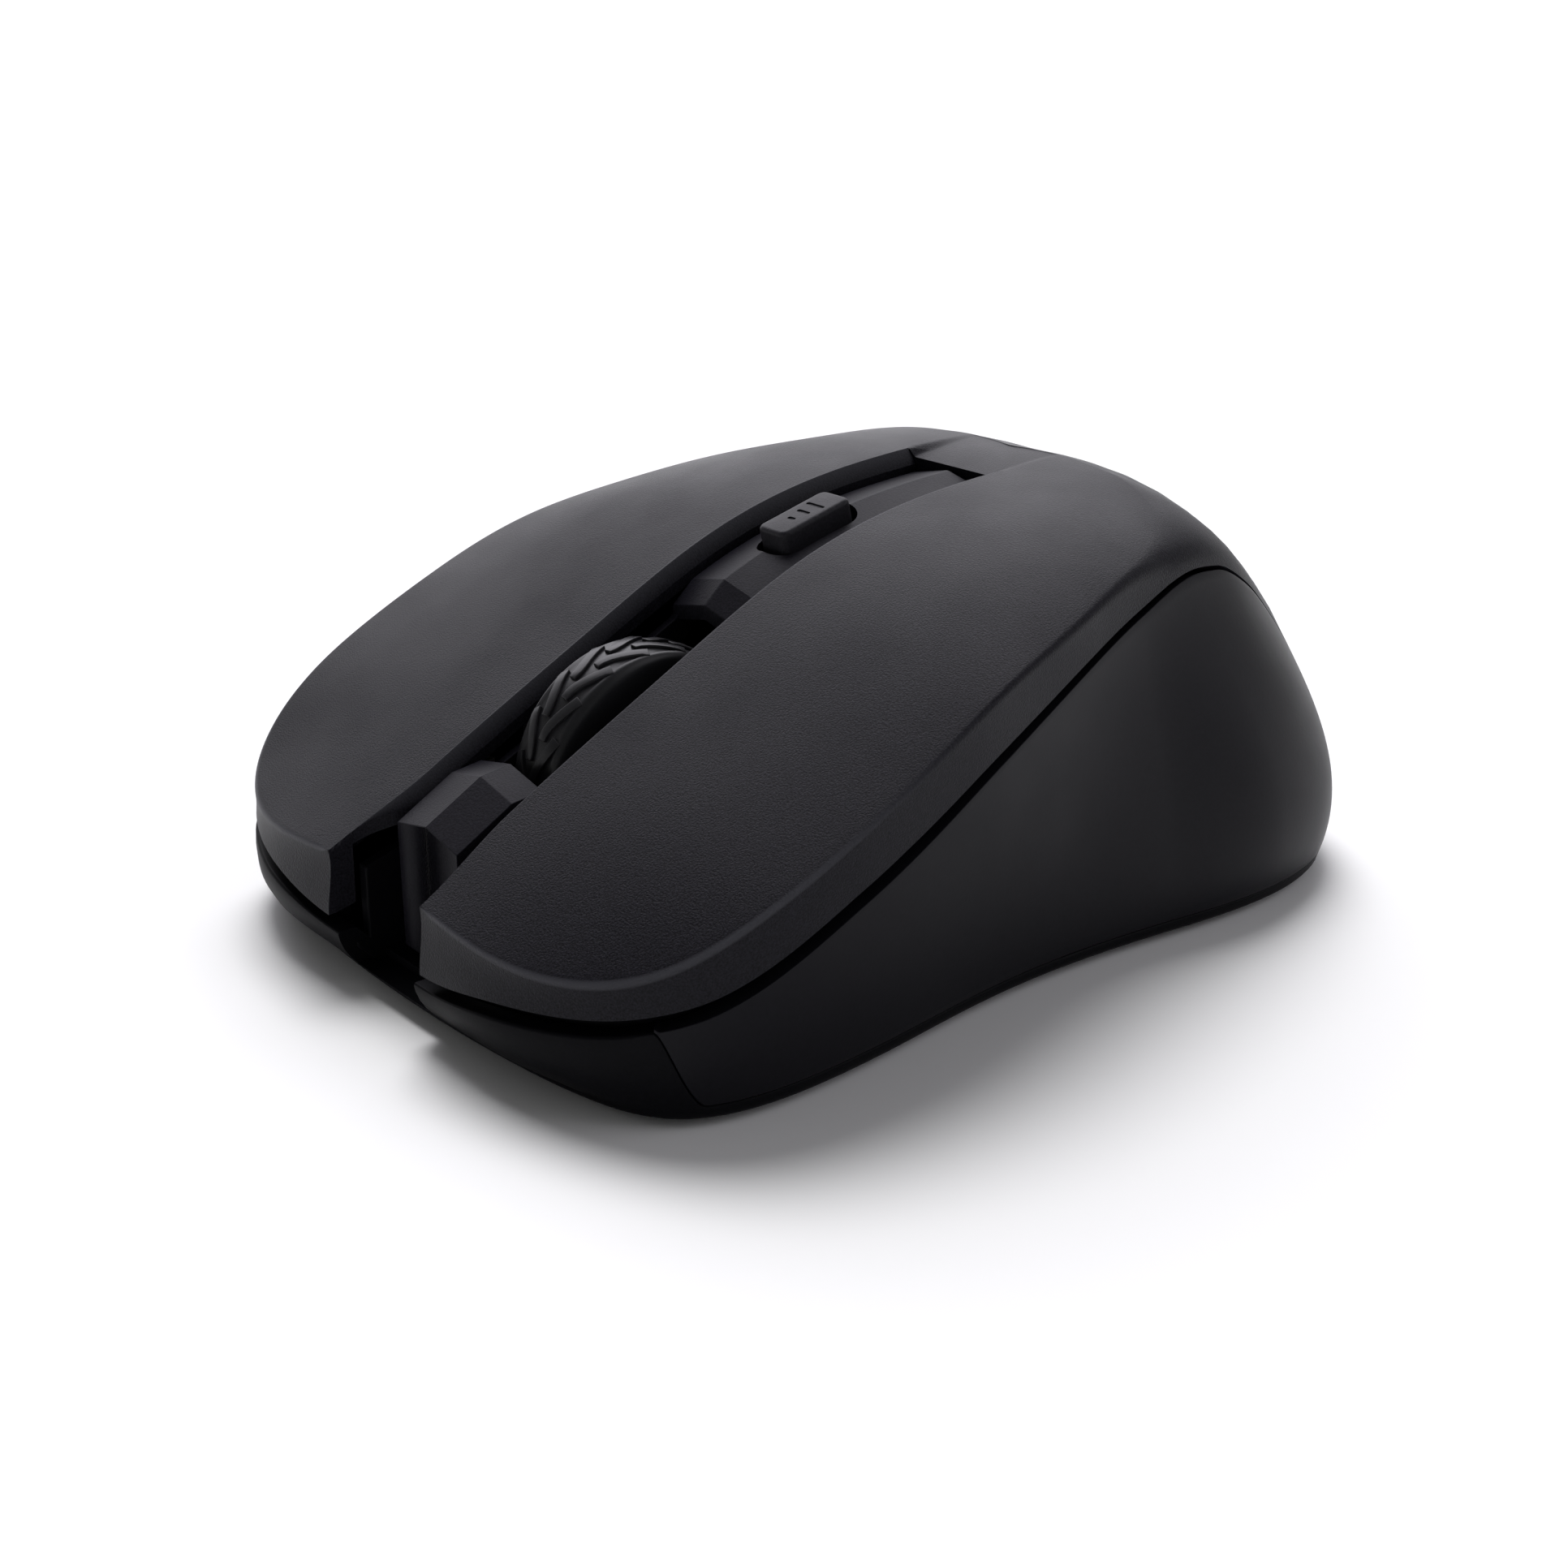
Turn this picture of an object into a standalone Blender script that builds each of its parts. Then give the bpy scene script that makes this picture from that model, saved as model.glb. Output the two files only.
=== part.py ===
"""Compact wireless mouse: shells, buttons, scroll wheel, board, battery and feet, in metres.

Front of the mouse is -Y, its left side (thumb side) is +X, up is +Z, and z = 0 is the desk.
Angles round the body run from the front (0) past the left side (90) to the rear (180 degrees).
"""

import math

import bmesh
import bpy
import numpy as np
from mathutils import Matrix, Vector

MM = 0.001

# Clearances and walls
GAP = 0.3 * MM
RUN = 0.25 * MM
SHELL = 1.5 * MM
PANEL_WALL = 1.8 * MM

# Outlines of the body on plan, right half from front to rear
BASE_OUTLINE = [
    (0, -46.5), (16.5, -45.7), (24.7, -44.4), (32.0, -40.7), (34.8, -29.0), (33.8, -15.8), (32.9, -4.6),
    (33.1, 4.7), (34.1, 14.5), (35.1, 26.0), (32.2, 38.9), (22.0, 46.6), (0, 48.2),
]
CREASE_OUTLINE = [
    (0, -48.2), (8.0, -48.4), (17.5, -48.2), (26.4, -45.7), (33.5, -39.9), (36.8, -25.8), (35.3, -9.5),
    (32.4, 2.8), (29.6, 12.0), (27.1, 21.4), (24.0, 30.0), (17.0, 38.0), (0, 42.3),
]

# Top surface: height of the crest along Y, and how fast it sags to each side
CREST = [
    (-52.0, 11.2), (-48.3, 13.0), (-35.0, 20.1), (-21.3, 27.2), (-7.8, 33.7), (5.8, 37.3), (19.4, 38.5),
    (31.0, 38.3), (45.0, 34.5),
]
SAG = [
    (-52.0, 8.0), (-48.2, 6.6), (-45.7, 3.4), (-40.0, 1.65), (-26.0, 1.05), (-9.5, 1.75), (2.8, 3.0),
    (12.0, 3.8), (21.4, 5.3), (34.0, 7.0), (45.0, 7.0),
]
SAG_REACH = 30.0 * MM
SAG_POWER = 3.2

# Side walls by angle: parting line height, outward bulge, and rounding of the top edge
PARTING = [
    (0, 5.4), (9, 5.5), (20, 6.85), (30, 7.8), (40, 9.7), (55, 16.2), (75, 23.4), (95, 28.0), (112, 30.6),
    (128, 32.2), (135, 31.6), (142, 28.5), (148, 20.0), (152, 10.5), (155, 3.0), (157, 2.4), (180, 2.4),
]
SKIRT_GAP = [(0, 1.2), (35, 1.3), (60, 1.5), (95, 0.9), (125, 0.45), (140, 0.3), (180, 0.3)]
BULGE = [
    (0, 1.6), (9, 1.7), (20, 2.2), (30, 1.4), (38, 0.3), (46, 0.0), (90, 0.0), (112, 1.2), (128, 3.6),
    (150, 3.7), (180, 2.4),
]
ROUNDING = [(0, 0.8), (110, 0.8), (130, 5.0), (146, 13.0), (165, 16.0), (180, 16.0)]

# Base
FLOOR_BOTTOM = 0.6 * MM
EDGE_TOP = 1.4 * MM
RIM_TOP = 2.0 * MM
FLOOR_TOP = 2.8 * MM
EDGE_INSET = 1.0 * MM
RIM_INSET = 0.25 * MM
STEP_GAP = 0.8 * MM
SEAM_ANGLE = 36.3
SEAM_SLANT = 4.2
NOTCH_HALF = 6.3 * MM
CHEEK = 1.2 * MM

# Top cover
HINGE_Y = 18.3 * MM
CHANNEL_HALF = 6.4 * MM
CORNER_EXTRA = 1.1 * MM
CHAMFER_WIDTH = 1.2 * MM
CHAMFER_DROP = 1.4 * MM
LIP = 1.2 * MM
RETURN_DEPTH = 2.2 * MM
TROUGH_LENGTH = 13.5 * MM

# Spine
SPINE_HALF = 4.8 * MM
ROOF_SLOPE = 0.22
STRIP_DROP = 1.0 * MM
STRIP_WALL = 1.4 * MM
STRIP_FRONT = -12.7 * MM
STRIP_STEP = -10.4 * MM
STRIP_END = 16.2 * MM
NOSE_FRONT = -43.0 * MM
NOSE_BREAK = -37.3 * MM
NOSE_REAR = -34.2 * MM
NOSE_RIDGE = (15.9 * MM, 19.1 * MM, 19.5 * MM)
NOSE_WALL = 1.2 * MM
RAIL = 0.9 * MM

# Scroll wheel and its cradle
WHEEL_RADIUS = 12.1 * MM
WHEEL_HALF = 3.2 * MM
WHEEL_Y = -20.6 * MM
WHEEL_FLOOR_GAP = 0.7 * MM
WHEEL_Z = FLOOR_TOP + WHEEL_FLOOR_GAP + WHEEL_RADIUS
TYRE_DEPTH = 2.3 * MM
AXLE_RADIUS = 1.1 * MM
ARM_INNER = 4.2 * MM
ARM = 1.4 * MM
ARM_HEIGHT = 2.0 * MM
CRADLE_Z = 9.5 * MM
PIVOT_Y = -7.5 * MM
PIVOT_RADIUS = 1.0 * MM
POST = 1.6 * MM
ENCODER = (4.6 * MM, 10.8 * MM, 10.0 * MM)

# Top key
KEY_Y = -0.8 * MM
KEY_HALF = (2.05 * MM, 4.3 * MM)
KEY_CLEARANCE = 0.5 * MM
KEY_TRAVEL = 0.5 * MM
KEY_PROUD = 0.4 * MM

# Boards and switches
BOARD_Z = 4.6 * MM
BOARD = 1.2 * MM
BOARD_HALF = 21.0 * MM
BOARD_FRONT = -40.0 * MM
BOARD_REAR = 7.6 * MM
SWITCH = (5.8 * MM, 12.8 * MM, 6.5 * MM)
SWITCH_X = 16.0 * MM
SWITCH_Y = -27.0 * MM
PLUNGER = (1.4 * MM, 2.6 * MM)
PLUNGER_OUT = 1.0 * MM
PLUNGER_IN = 1.4 * MM
TACT = (6.0 * MM, 6.0 * MM, 2.3 * MM)
TACT_RADIUS = 1.5 * MM
TACT_OUT = 0.8 * MM
TACT_IN = 0.8 * MM

# Underside
SENSOR_Y = 1.0 * MM
BATTERY_RADIUS = 7.25 * MM
BATTERY_LENGTH = 49.5 * MM
BATTERY_Y = 17.6 * MM
NUB = (2.7 * MM, 1.0 * MM)
SPRING_ROOM = 5.5 * MM
CONTACT = 0.5 * MM
CONTACT_HALF = 5.0 * MM
CONTACT_GAP = 1.2 * MM
BAY_HALF = (SPRING_ROOM + BATTERY_LENGTH + NUB[1] + CONTACT_GAP + CONTACT + GAP) / 2
BAY_ROOM = 6.1 * MM
BATTERY_X = SPRING_ROOM - BAY_HALF
BAY_FRONT = 9.8 * MM
BAY_CORNER = 26.5 * MM
BAY_REAR = 39.4 * MM
BAY_REAR_HALF = 18.0 * MM
BAY_WALL = 1.2 * MM
BAY_HEIGHT = 9.5 * MM
DOOR = 1.0 * MM
DOOR_LEDGE = 2.0 * MM
FOOT = 0.9 * MM
FOOT_POCKET = 0.6 * MM
RECEIVER = (18.6 * MM, 12.0 * MM, 4.6 * MM)
CASE_SCREW_Y = 43.4 * MM
POWER_X = -17.0 * MM
POWER_Y = -14.0 * MM
POWER_TRAVEL = 3.0 * MM


def clear_scene():
    for item in list(bpy.data.objects):
        bpy.data.objects.remove(item, do_unlink=True)


def collection(name):
    made = bpy.data.collections.new(name)
    bpy.context.scene.collection.children.link(made)
    return made


def plastic(name, colour, roughness, metallic=0.0):
    made = bpy.data.materials.new(name)
    made.use_nodes = True
    shader = made.node_tree.nodes["Principled BSDF"]
    shader.inputs["Base Color"].default_value = (*colour, 1.0)
    shader.inputs["Roughness"].default_value = roughness
    shader.inputs["Metallic"].default_value = metallic
    return made


def curve(points, at, flat=False):
    """Cubic curve through (position, value) points; flat makes it level at both ends."""
    knots = np.array([p[0] for p in points], float)
    values = np.array([p[1] for p in points], float)
    size = len(knots)
    step = np.diff(knots)
    rise = np.diff(values) / step
    system = np.zeros((size, size))
    right = np.zeros(size)
    for i in range(1, size - 1):
        system[i, i - 1:i + 2] = (step[i - 1], 2 * (step[i - 1] + step[i]), step[i])
        right[i] = 6 * (rise[i] - rise[i - 1])
    system[0, 0] = 1
    system[-1, -1] = 1
    if flat:
        system[0, :2] = (2 * step[0], step[0])
        right[0] = 6 * rise[0]
        system[-1, -2:] = (step[-1], 2 * step[-1])
        right[-1] = -6 * rise[-1]
    bend = np.linalg.solve(system, right)
    i = int(np.clip(np.searchsorted(knots, at) - 1, 0, size - 2))
    a = (knots[i + 1] - at) / step[i]
    b = 1 - a
    extra = ((a ** 3 - a) * bend[i] + (b ** 3 - b) * bend[i + 1]) * step[i] ** 2 / 6
    return a * values[i] + b * values[i + 1] + extra


def steps(points, at):
    """Straight-line run through (position, value) points."""
    return float(np.interp(at, [p[0] for p in points], [p[1] for p in points]))


def ease(t):
    t = min(max(t, 0.0), 1.0)
    return t * t * (3 - 2 * t)


def as_polar(outline):
    """Outline as (angle, radius), as wide as the battery bay needs."""
    return [(math.degrees(math.atan2(x * WIDEN, -y)), math.hypot(x * WIDEN, y)) for x, y in outline]


WIDEN = (BAY_HALF + BAY_ROOM) / (max(x for x, y in BASE_OUTLINE) * MM)


BASE_RING = as_polar(BASE_OUTLINE)
CREASE_RING = as_polar(CREASE_OUTLINE)


def on_ring(ring, angle):
    """Point on plan at an angle from the front; angles past 180 come round the other side."""
    side = 1 if angle <= 180 else -1
    half = angle if angle <= 180 else 360 - angle
    radius = curve(ring, half, flat=True) * MM
    turn = math.radians(half)
    return Vector((side * radius * math.sin(turn), -radius * math.cos(turn)))


def half_angle(angle):
    return angle if angle <= 180 else 360 - angle


def crest(y):
    return curve(CREST, y / MM) * MM


def top_z(x, y):
    return crest(y) - curve(SAG, y / MM) * MM * (abs(x) / (SAG_REACH * WIDEN)) ** SAG_POWER


def crease(angle):
    plan = on_ring(CREASE_RING, angle)
    return Vector((plan.x, plan.y, top_z(plan.x, plan.y)))


def wall(angle, z):
    """Point on the side wall at a height."""
    low = on_ring(BASE_RING, angle)
    high = crease(angle)
    part = (z - EDGE_TOP) / (high.z - EDGE_TOP)
    plan = low.lerp(high.xy, part)
    bulge = steps_smooth(BULGE, half_angle(angle)) * MM * 6.75 * part * (1 - part) ** 2
    plan += low.normalized() * bulge
    return Vector((plan.x, plan.y, z))


def parting_z(angle):
    return steps_smooth(PARTING, half_angle(angle)) * MM


def steps_smooth(points, at):
    """Curve through points that never overshoots between them."""
    knots = [p[0] for p in points]
    values = [p[1] for p in points]
    slopes = [(values[i + 1] - values[i]) / (knots[i + 1] - knots[i]) for i in range(len(knots) - 1)]
    ends = [slopes[0]] + [0.0] * (len(slopes) - 1) + [slopes[-1]]
    for i in range(1, len(slopes)):
        before, after = slopes[i - 1], slopes[i]
        if before * after > 0:
            ends[i] = 2 * before * after / (before + after)
    i = int(np.clip(np.searchsorted(knots, at) - 1, 0, len(slopes) - 1))
    span = knots[i + 1] - knots[i]
    t = (at - knots[i]) / span
    first = values[i] * (1 + 2 * t) * (1 - t) ** 2 + ends[i] * span * t * (1 - t) ** 2
    return first + values[i + 1] * t * t * (3 - 2 * t) + ends[i + 1] * span * t * t * (t - 1)


def skirt_z(angle):
    return parting_z(angle) + steps(SKIRT_GAP, half_angle(angle)) * MM


def base_top_z(angle):
    """Top of the base wall: the parting line at the front bumper, stepping down at the seam to the rim."""
    half = half_angle(angle)
    drop = ease((half - SEAM_ANGLE) / SEAM_SLANT) ** 0.8
    return parting_z(SEAM_ANGLE if half > SEAM_ANGLE else half) * (1 - drop) + RIM_TOP * drop


def angle_at_y(y):
    """Angle on the left side where the crease passes a given Y."""
    low, high = 60.0, 175.0
    for _ in range(50):
        middle = (low + high) / 2
        if on_ring(CREASE_RING, middle).y < y:
            low = middle
        else:
            high = middle
    return low


def spaced_angles(first, last, shares):
    """Angles at given shares of the crease's length between two angles."""
    fine = np.linspace(first, last, 300)
    points = [on_ring(CREASE_RING, angle) for angle in fine]
    length = [0.0]
    for a, b in zip(points, points[1:]):
        length.append(length[-1] + (b - a).length)
    return [float(np.interp(share * length[-1], length, fine)) for share in shares]


def show(name, mesh_data, material, where=None):
    made = bpy.data.objects.new(name, mesh_data)
    mesh_data.materials.append(material)
    PARTS.objects.link(made)
    if where is not None:
        made.matrix_world = where
    return made


def finish(work, name, material):
    mesh_data = bpy.data.meshes.new(name)
    work.to_mesh(mesh_data)
    work.free()
    return show(name, mesh_data, material)


def grid_mesh(rows):
    """Sheet whose points are given row by row, faces turned away from the body's middle."""
    work = bmesh.new()
    tall, wide = len(rows), len(rows[0])
    made = bmesh.ops.create_grid(work, x_segments=wide - 1, y_segments=tall - 1, size=1)["verts"]
    for i, vert in enumerate(made):
        vert.co = rows[i // wide][i % wide]
    bmesh.ops.remove_doubles(work, verts=work.verts[:], dist=0.002 * MM)
    bmesh.ops.dissolve_degenerate(work, dist=0.001 * MM, edges=work.edges[:])
    work.normal_update()
    middle = Vector((0, 0, 9 * MM))
    facing = sum(f.normal.dot(f.calc_center_median() - middle) * f.calc_area() for f in work.faces)
    if facing < 0:
        bmesh.ops.reverse_faces(work, faces=work.faces[:])
    return work


def thicken(item, wall_size):
    modifier = item.modifiers.new("wall", "SOLIDIFY")
    modifier.thickness = wall_size
    modifier.offset = -1
    modifier.use_even_offset = True
    modifier.use_quality_normals = True


def boxed(work, low, high):
    """Adds a box between two corners."""
    low, high = Vector(low), Vector(high)
    size = high - low
    place = Matrix.Translation((low + high) / 2) @ Matrix.Diagonal((*size, 1))
    return bmesh.ops.create_cube(work, size=1, matrix=place)["verts"]


def box(name, low, high, material, soft=0.0):
    work = bmesh.new()
    boxed(work, low, high)
    if soft:
        bmesh.ops.bevel(
            work, geom=work.edges[:], offset=soft, offset_type="OFFSET", affect="EDGES", segments=1,
            profile=0.5, material=-1,
        )
    return finish(work, name, material)


def rod(name, start, end, radius, material, sides=24):
    work = bmesh.new()
    rodded(work, start, end, radius, sides)
    return finish(work, name, material)


def rodded(work, start, end, radius, sides=24):
    start, end = Vector(start), Vector(end)
    run = end - start
    place = Matrix.Translation((start + end) / 2) @ run.to_track_quat("Z", "Y").to_matrix().to_4x4()
    bmesh.ops.create_cone(
        work, cap_ends=True, segments=sides, radius1=radius, radius2=radius, depth=run.length, matrix=place
    )


def outline_plate(name, points, direction, material):
    """Flat outline pushed along a direction into a solid."""
    work = bmesh.new()
    face = work.faces.new([work.verts.new(p) for p in points])
    pushed = bmesh.ops.extrude_face_region(work, geom=[face])["geom"]
    bmesh.ops.translate(work, verts=[g for g in pushed if isinstance(g, bmesh.types.BMVert)], vec=direction)
    bmesh.ops.recalc_face_normals(work, faces=work.faces[:])
    return finish(work, name, material)


def turned(name, profile, material, sides=36):
    """Ring turned about the wheel's axis from a closed (radius, x) profile."""
    work = bmesh.new()
    centre = Vector((0, WHEEL_Y, WHEEL_Z))
    verts = [work.verts.new(centre + Vector((x, 0, r))) for r, x in profile]
    edges = [work.edges.new((verts[i], verts[(i + 1) % len(verts)])) for i in range(len(verts))]
    bmesh.ops.spin(work, geom=verts + edges, cent=centre, axis=(1, 0, 0), angle=math.tau, steps=sides)
    bmesh.ops.remove_doubles(work, verts=work.verts[:], dist=0.005 * MM)
    bmesh.ops.recalc_face_normals(work, faces=work.faces[:])
    return finish(work, name, material)


def helper(item):
    """Moves an object to the cutters: it shapes its neighbour and is not a piece itself."""
    PARTS.objects.unlink(item)
    CUTTERS.objects.link(item)
    item.hide_render = True
    item.display_type = "WIRE"
    return item


def shaped(target, operation, item):
    modifier = target.modifiers.new(operation.lower(), "BOOLEAN")
    modifier.operation = operation
    modifier.solver = "EXACT"
    modifier.object = helper(item)


def cut(target, item):
    shaped(target, "DIFFERENCE", item)


def add(target, item):
    shaped(target, "UNION", item)


def wire(name, points, radius, material):
    """Round wire through points, with closed ends."""
    data = bpy.data.curves.new(name, "CURVE")
    data.dimensions = "3D"
    data.bevel_depth = radius
    data.bevel_resolution = 1
    data.use_fill_caps = True
    spline = data.splines.new("POLY")
    spline.points.add(len(points) - 1)
    for point, place in zip(spline.points, points):
        point.co = (*place, 1)
    made = bpy.data.objects.new(name, data)
    data.materials.append(material)
    PARTS.objects.link(made)
    return made


def set_origin(item, place):
    """Puts a moving piece's origin on its joint axis."""
    shift = Vector(place) - item.matrix_world.translation
    item.data.transform(Matrix.Translation(-shift))
    item.matrix_world = Matrix.Translation(shift) @ item.matrix_world


clear_scene()
PARTS = collection("wireless_mouse")
CUTTERS = collection("cutters")

COVER = plastic("cover", (0.045, 0.045, 0.052), 0.6)
SATIN = plastic("satin", (0.025, 0.025, 0.028), 0.4)
BASE = plastic("base", (0.03, 0.03, 0.033), 0.5)
INNER = plastic("inner", (0.05, 0.05, 0.055), 0.5)
RUBBER = plastic("rubber", (0.02, 0.02, 0.02), 0.7)
GREEN = plastic("board", (0.03, 0.16, 0.06), 0.5)
CHIP = plastic("chip", (0.02, 0.02, 0.02), 0.4)
STEEL = plastic("steel", (0.6, 0.6, 0.6), 0.3, 1.0)
CLEAR = plastic("clear", (0.8, 0.85, 0.85), 0.1)
RED = plastic("lamp", (0.6, 0.05, 0.05), 0.2)
WHITE = plastic("slippery", (0.75, 0.75, 0.75), 0.5)
CELL = plastic("cell", (0.5, 0.35, 0.12), 0.35)

# Base shell
BOARD_TOP = BOARD_Z + BOARD


def inset(angle, size, z):
    plan = on_ring(BASE_RING, angle)
    return Vector((plan.x, plan.y, z)) - Vector((*(plan.normalized() * size), 0))


BUMPER_END = SEAM_ANGLE + SEAM_SLANT
front_half = list(np.linspace(0, SEAM_ANGLE, 11))
front_half += [SEAM_ANGLE + SEAM_SLANT * share for share in (0.25, 0.5, 0.75, 1.0)]
around_half = front_half + list(np.linspace(BUMPER_END, 180, 27))[1:]
AROUND = around_half + [360 - a for a in reversed(around_half[:-1])]


def base_section(angle):
    """Section of the tray at an angle: bottom edge, outer wall, top of the wall, then down to the floor."""
    top = base_top_z(angle)
    raised = 1 - ease((half_angle(angle) - SEAM_ANGLE + 2) / 2.5)
    outer = wall(angle, top)
    middle = wall(angle, (top + EDGE_TOP) / 2)
    step = PANEL_WALL + STEP_GAP * (1 - raised)
    along = (on_ring(BASE_RING, angle + 1) - on_ring(BASE_RING, angle - 1)).normalized()
    inward = Vector((-along.y, along.x, 0)) * step
    return [
        inset(angle, EDGE_INSET, FLOOR_BOTTOM), inset(angle, RIM_INSET, EDGE_TOP), middle, outer,
        outer + inward, inset(angle, step + RIM_INSET, FLOOR_TOP),
    ]


tray = grid_mesh([list(row) for row in zip(*[base_section(a) for a in AROUND])])
bmesh.ops.holes_fill(tray, edges=tray.edges[:], sides=0)
bmesh.ops.recalc_face_normals(tray, faces=tray.faces[:])
base_shell = finish(tray, "base_shell", BASE)

notch_front = CREASE_OUTLINE[0][1] * MM - 5 * MM
notch_back = NOSE_FRONT - 1.3 * MM
cut(base_shell, box(
    "notch", (-NOTCH_HALF, notch_front, RIM_TOP), (NOTCH_HALF, notch_back, 20 * MM), BASE,
))
cheek_low = parting_z(0) - 1.3 * MM
cheek_back = NOSE_FRONT + 2 * MM
for side in (-1, 1):
    x = side * (NOTCH_HALF - 0.1 * MM)
    profile = [
        (x, -45.0 * MM, FLOOR_BOTTOM + MM), (x, -47.0 * MM, 3.6 * MM), (x, -47.0 * MM, cheek_low),
        (x, -45.7 * MM, cheek_low), (x, -45.6 * MM, 10.8 * MM), (x, cheek_back, 12.2 * MM),
        (x, cheek_back, FLOOR_BOTTOM + MM),
    ]
    add(base_shell, outline_plate("cheek", profile, (side * CHEEK, 0, 0), BASE))

BAY = [
    (BAY_HALF, BAY_FRONT), (BAY_HALF, BAY_CORNER), (BAY_REAR_HALF, BAY_REAR), (-BAY_REAR_HALF, BAY_REAR),
    (-BAY_HALF, BAY_CORNER), (-BAY_HALF, BAY_FRONT),
]


def bay_plate(name, grow, low, high):
    """Solid with the battery bay's outline, every side moved out by grow."""
    lines = []
    for i in range(len(BAY)):
        a, b = Vector(BAY[i]), Vector(BAY[(i + 1) % len(BAY)])
        out = Vector((b.y - a.y, a.x - b.x)).normalized()
        lines.append((out, out.dot(a) + grow))
    points = []
    for i in range(len(BAY)):
        (first, d1), (second, d2) = lines[i - 1], lines[i]
        cross = first.x * second.y - first.y * second.x
        points.append((
            (d1 * second.y - d2 * first.y) / cross, (first.x * d2 - second.x * d1) / cross, low
        ))
    return outline_plate(name, points, (0, 0, high - low), BASE)


bay = bay_plate("bay", BAY_WALL, FLOOR_BOTTOM + 1.6 * MM, BAY_HEIGHT)
cut(bay, bay_plate("bay_inside", 0, -MM, BAY_HEIGHT + MM))
add(base_shell, bay)
DOOR_GROW = -0.6 * MM
cut(base_shell, bay_plate("door_recess", DOOR_GROW + GAP, -MM, FLOOR_BOTTOM + DOOR + GAP))
cut(base_shell, bay_plate("bay_mouth", DOOR_GROW - DOOR_LEDGE, -MM, FLOOR_TOP + MM))

SCREW_X = 17.5 * MM
SCREW_Y = -8.0 * MM
SCREW_RADIUS = 0.8 * MM
SCREW_HEAD = (2.0 * MM, 1.2 * MM)
BOSS_RADIUS = 2.4 * MM
for side in (-1, 1):
    x = side * SCREW_X
    add(base_shell, rod(
        "board_boss", (x, SCREW_Y, RIM_TOP), (x, SCREW_Y, BOARD_Z - GAP), BOSS_RADIUS, BASE, 16
    ))
    cut(base_shell, rod(
        "board_screw_hole", (x, SCREW_Y, 1.7 * MM), (x, SCREW_Y, BOARD_Z + MM), SCREW_RADIUS + RUN, BASE, 12
    ))

PIVOT_Z = CRADLE_Z + ARM_HEIGHT / 2
POST_INNER = ARM_INNER + ARM + 1.4 * MM
for side in (-1, 1):
    inner, outer = sorted((side * POST_INNER, side * (POST_INNER + POST)))
    add(base_shell, box(
        "pivot_post", (inner, PIVOT_Y - 2.6 * MM, RIM_TOP),
        (outer, PIVOT_Y + 2.6 * MM, PIVOT_Z + 2.6 * MM), BASE,
    ))
cut(base_shell, rod(
    "pivot_hole", (-20 * MM, PIVOT_Y, PIVOT_Z), (20 * MM, PIVOT_Y, PIVOT_Z), PIVOT_RADIUS + RUN, BASE, 20
))
SENSOR_HOLE = (5.0 * MM, 4.0 * MM)
cut(base_shell, box(
    "sensor_hole", (-SENSOR_HOLE[0], SENSOR_Y - SENSOR_HOLE[1], -MM),
    (SENSOR_HOLE[0], SENSOR_Y + SENSOR_HOLE[1], FLOOR_TOP + MM), BASE,
))
KNOB = (3.0 * MM, 3.2 * MM)
slot_low = POWER_X - KNOB[0] / 2 - GAP
slot_high = POWER_X + KNOB[0] / 2 + POWER_TRAVEL + GAP
cut(base_shell, box(
    "power_slot", (slot_low, POWER_Y - KNOB[1] / 2 - GAP, -MM),
    (slot_high, POWER_Y + KNOB[1] / 2 + GAP, FLOOR_TOP + MM), BASE,
))
CASE_HOLE = SCREW_RADIUS + RUN
cut(base_shell, rod(
    "case_screw_hole", (0, CASE_SCREW_Y, -MM), (0, CASE_SCREW_Y, FLOOR_TOP + MM), CASE_HOLE, BASE, 16
))
CASE_HEAD = (1.9 * MM, 0.6 * MM)
HEAD_SEAT = FLOOR_BOTTOM + FOOT_POCKET + 0.9 * MM
cut(base_shell, rod(
    "case_head_pocket", (0, CASE_SCREW_Y, -MM), (0, CASE_SCREW_Y, HEAD_SEAT), CASE_HEAD[0] + RUN, BASE, 16
))

# Feet
FEET = (
    ("front_foot", -39.5 * MM, 13.0 * MM, 2.6 * MM),
    ("rear_foot", CASE_SCREW_Y + 0.3 * MM, 12.0 * MM, 2.1 * MM),
)
for name, y, half, deep in FEET:
    cut(base_shell, box(
        name + "_pocket", (-half - GAP, y - deep - GAP, -MM),
        (half + GAP, y + deep + GAP, FLOOR_BOTTOM + FOOT_POCKET), BASE,
    ))
    foot = bmesh.new()
    corners = boxed(foot, (-half, y - deep, 0), (half, y + deep, FOOT))
    upright = [e for e in foot.edges if abs(e.verts[0].co.z - e.verts[1].co.z) > FOOT / 2]
    bmesh.ops.bevel(
        foot, geom=upright, offset=1.6 * MM, offset_type="OFFSET", affect="EDGES", segments=4, profile=0.5,
        material=-1,
    )
    finish(foot, name, WHITE)

# Side panels
PANEL_START = SEAM_ANGLE + 0.6
PANEL_END = 155.4
panel_angles = [PANEL_START + SEAM_SLANT * share for share in (0.0, 0.25, 0.5, 0.75)]
panel_angles += list(np.linspace(SEAM_ANGLE + SEAM_SLANT + 0.4, 126, 17))
panel_angles += [131, 135, 138.5, 142, 145, 148, 150.5, 153, PANEL_END]


def panel_low(angle):
    return max(RIM_TOP, base_top_z(angle - 0.4)) + GAP


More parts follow.
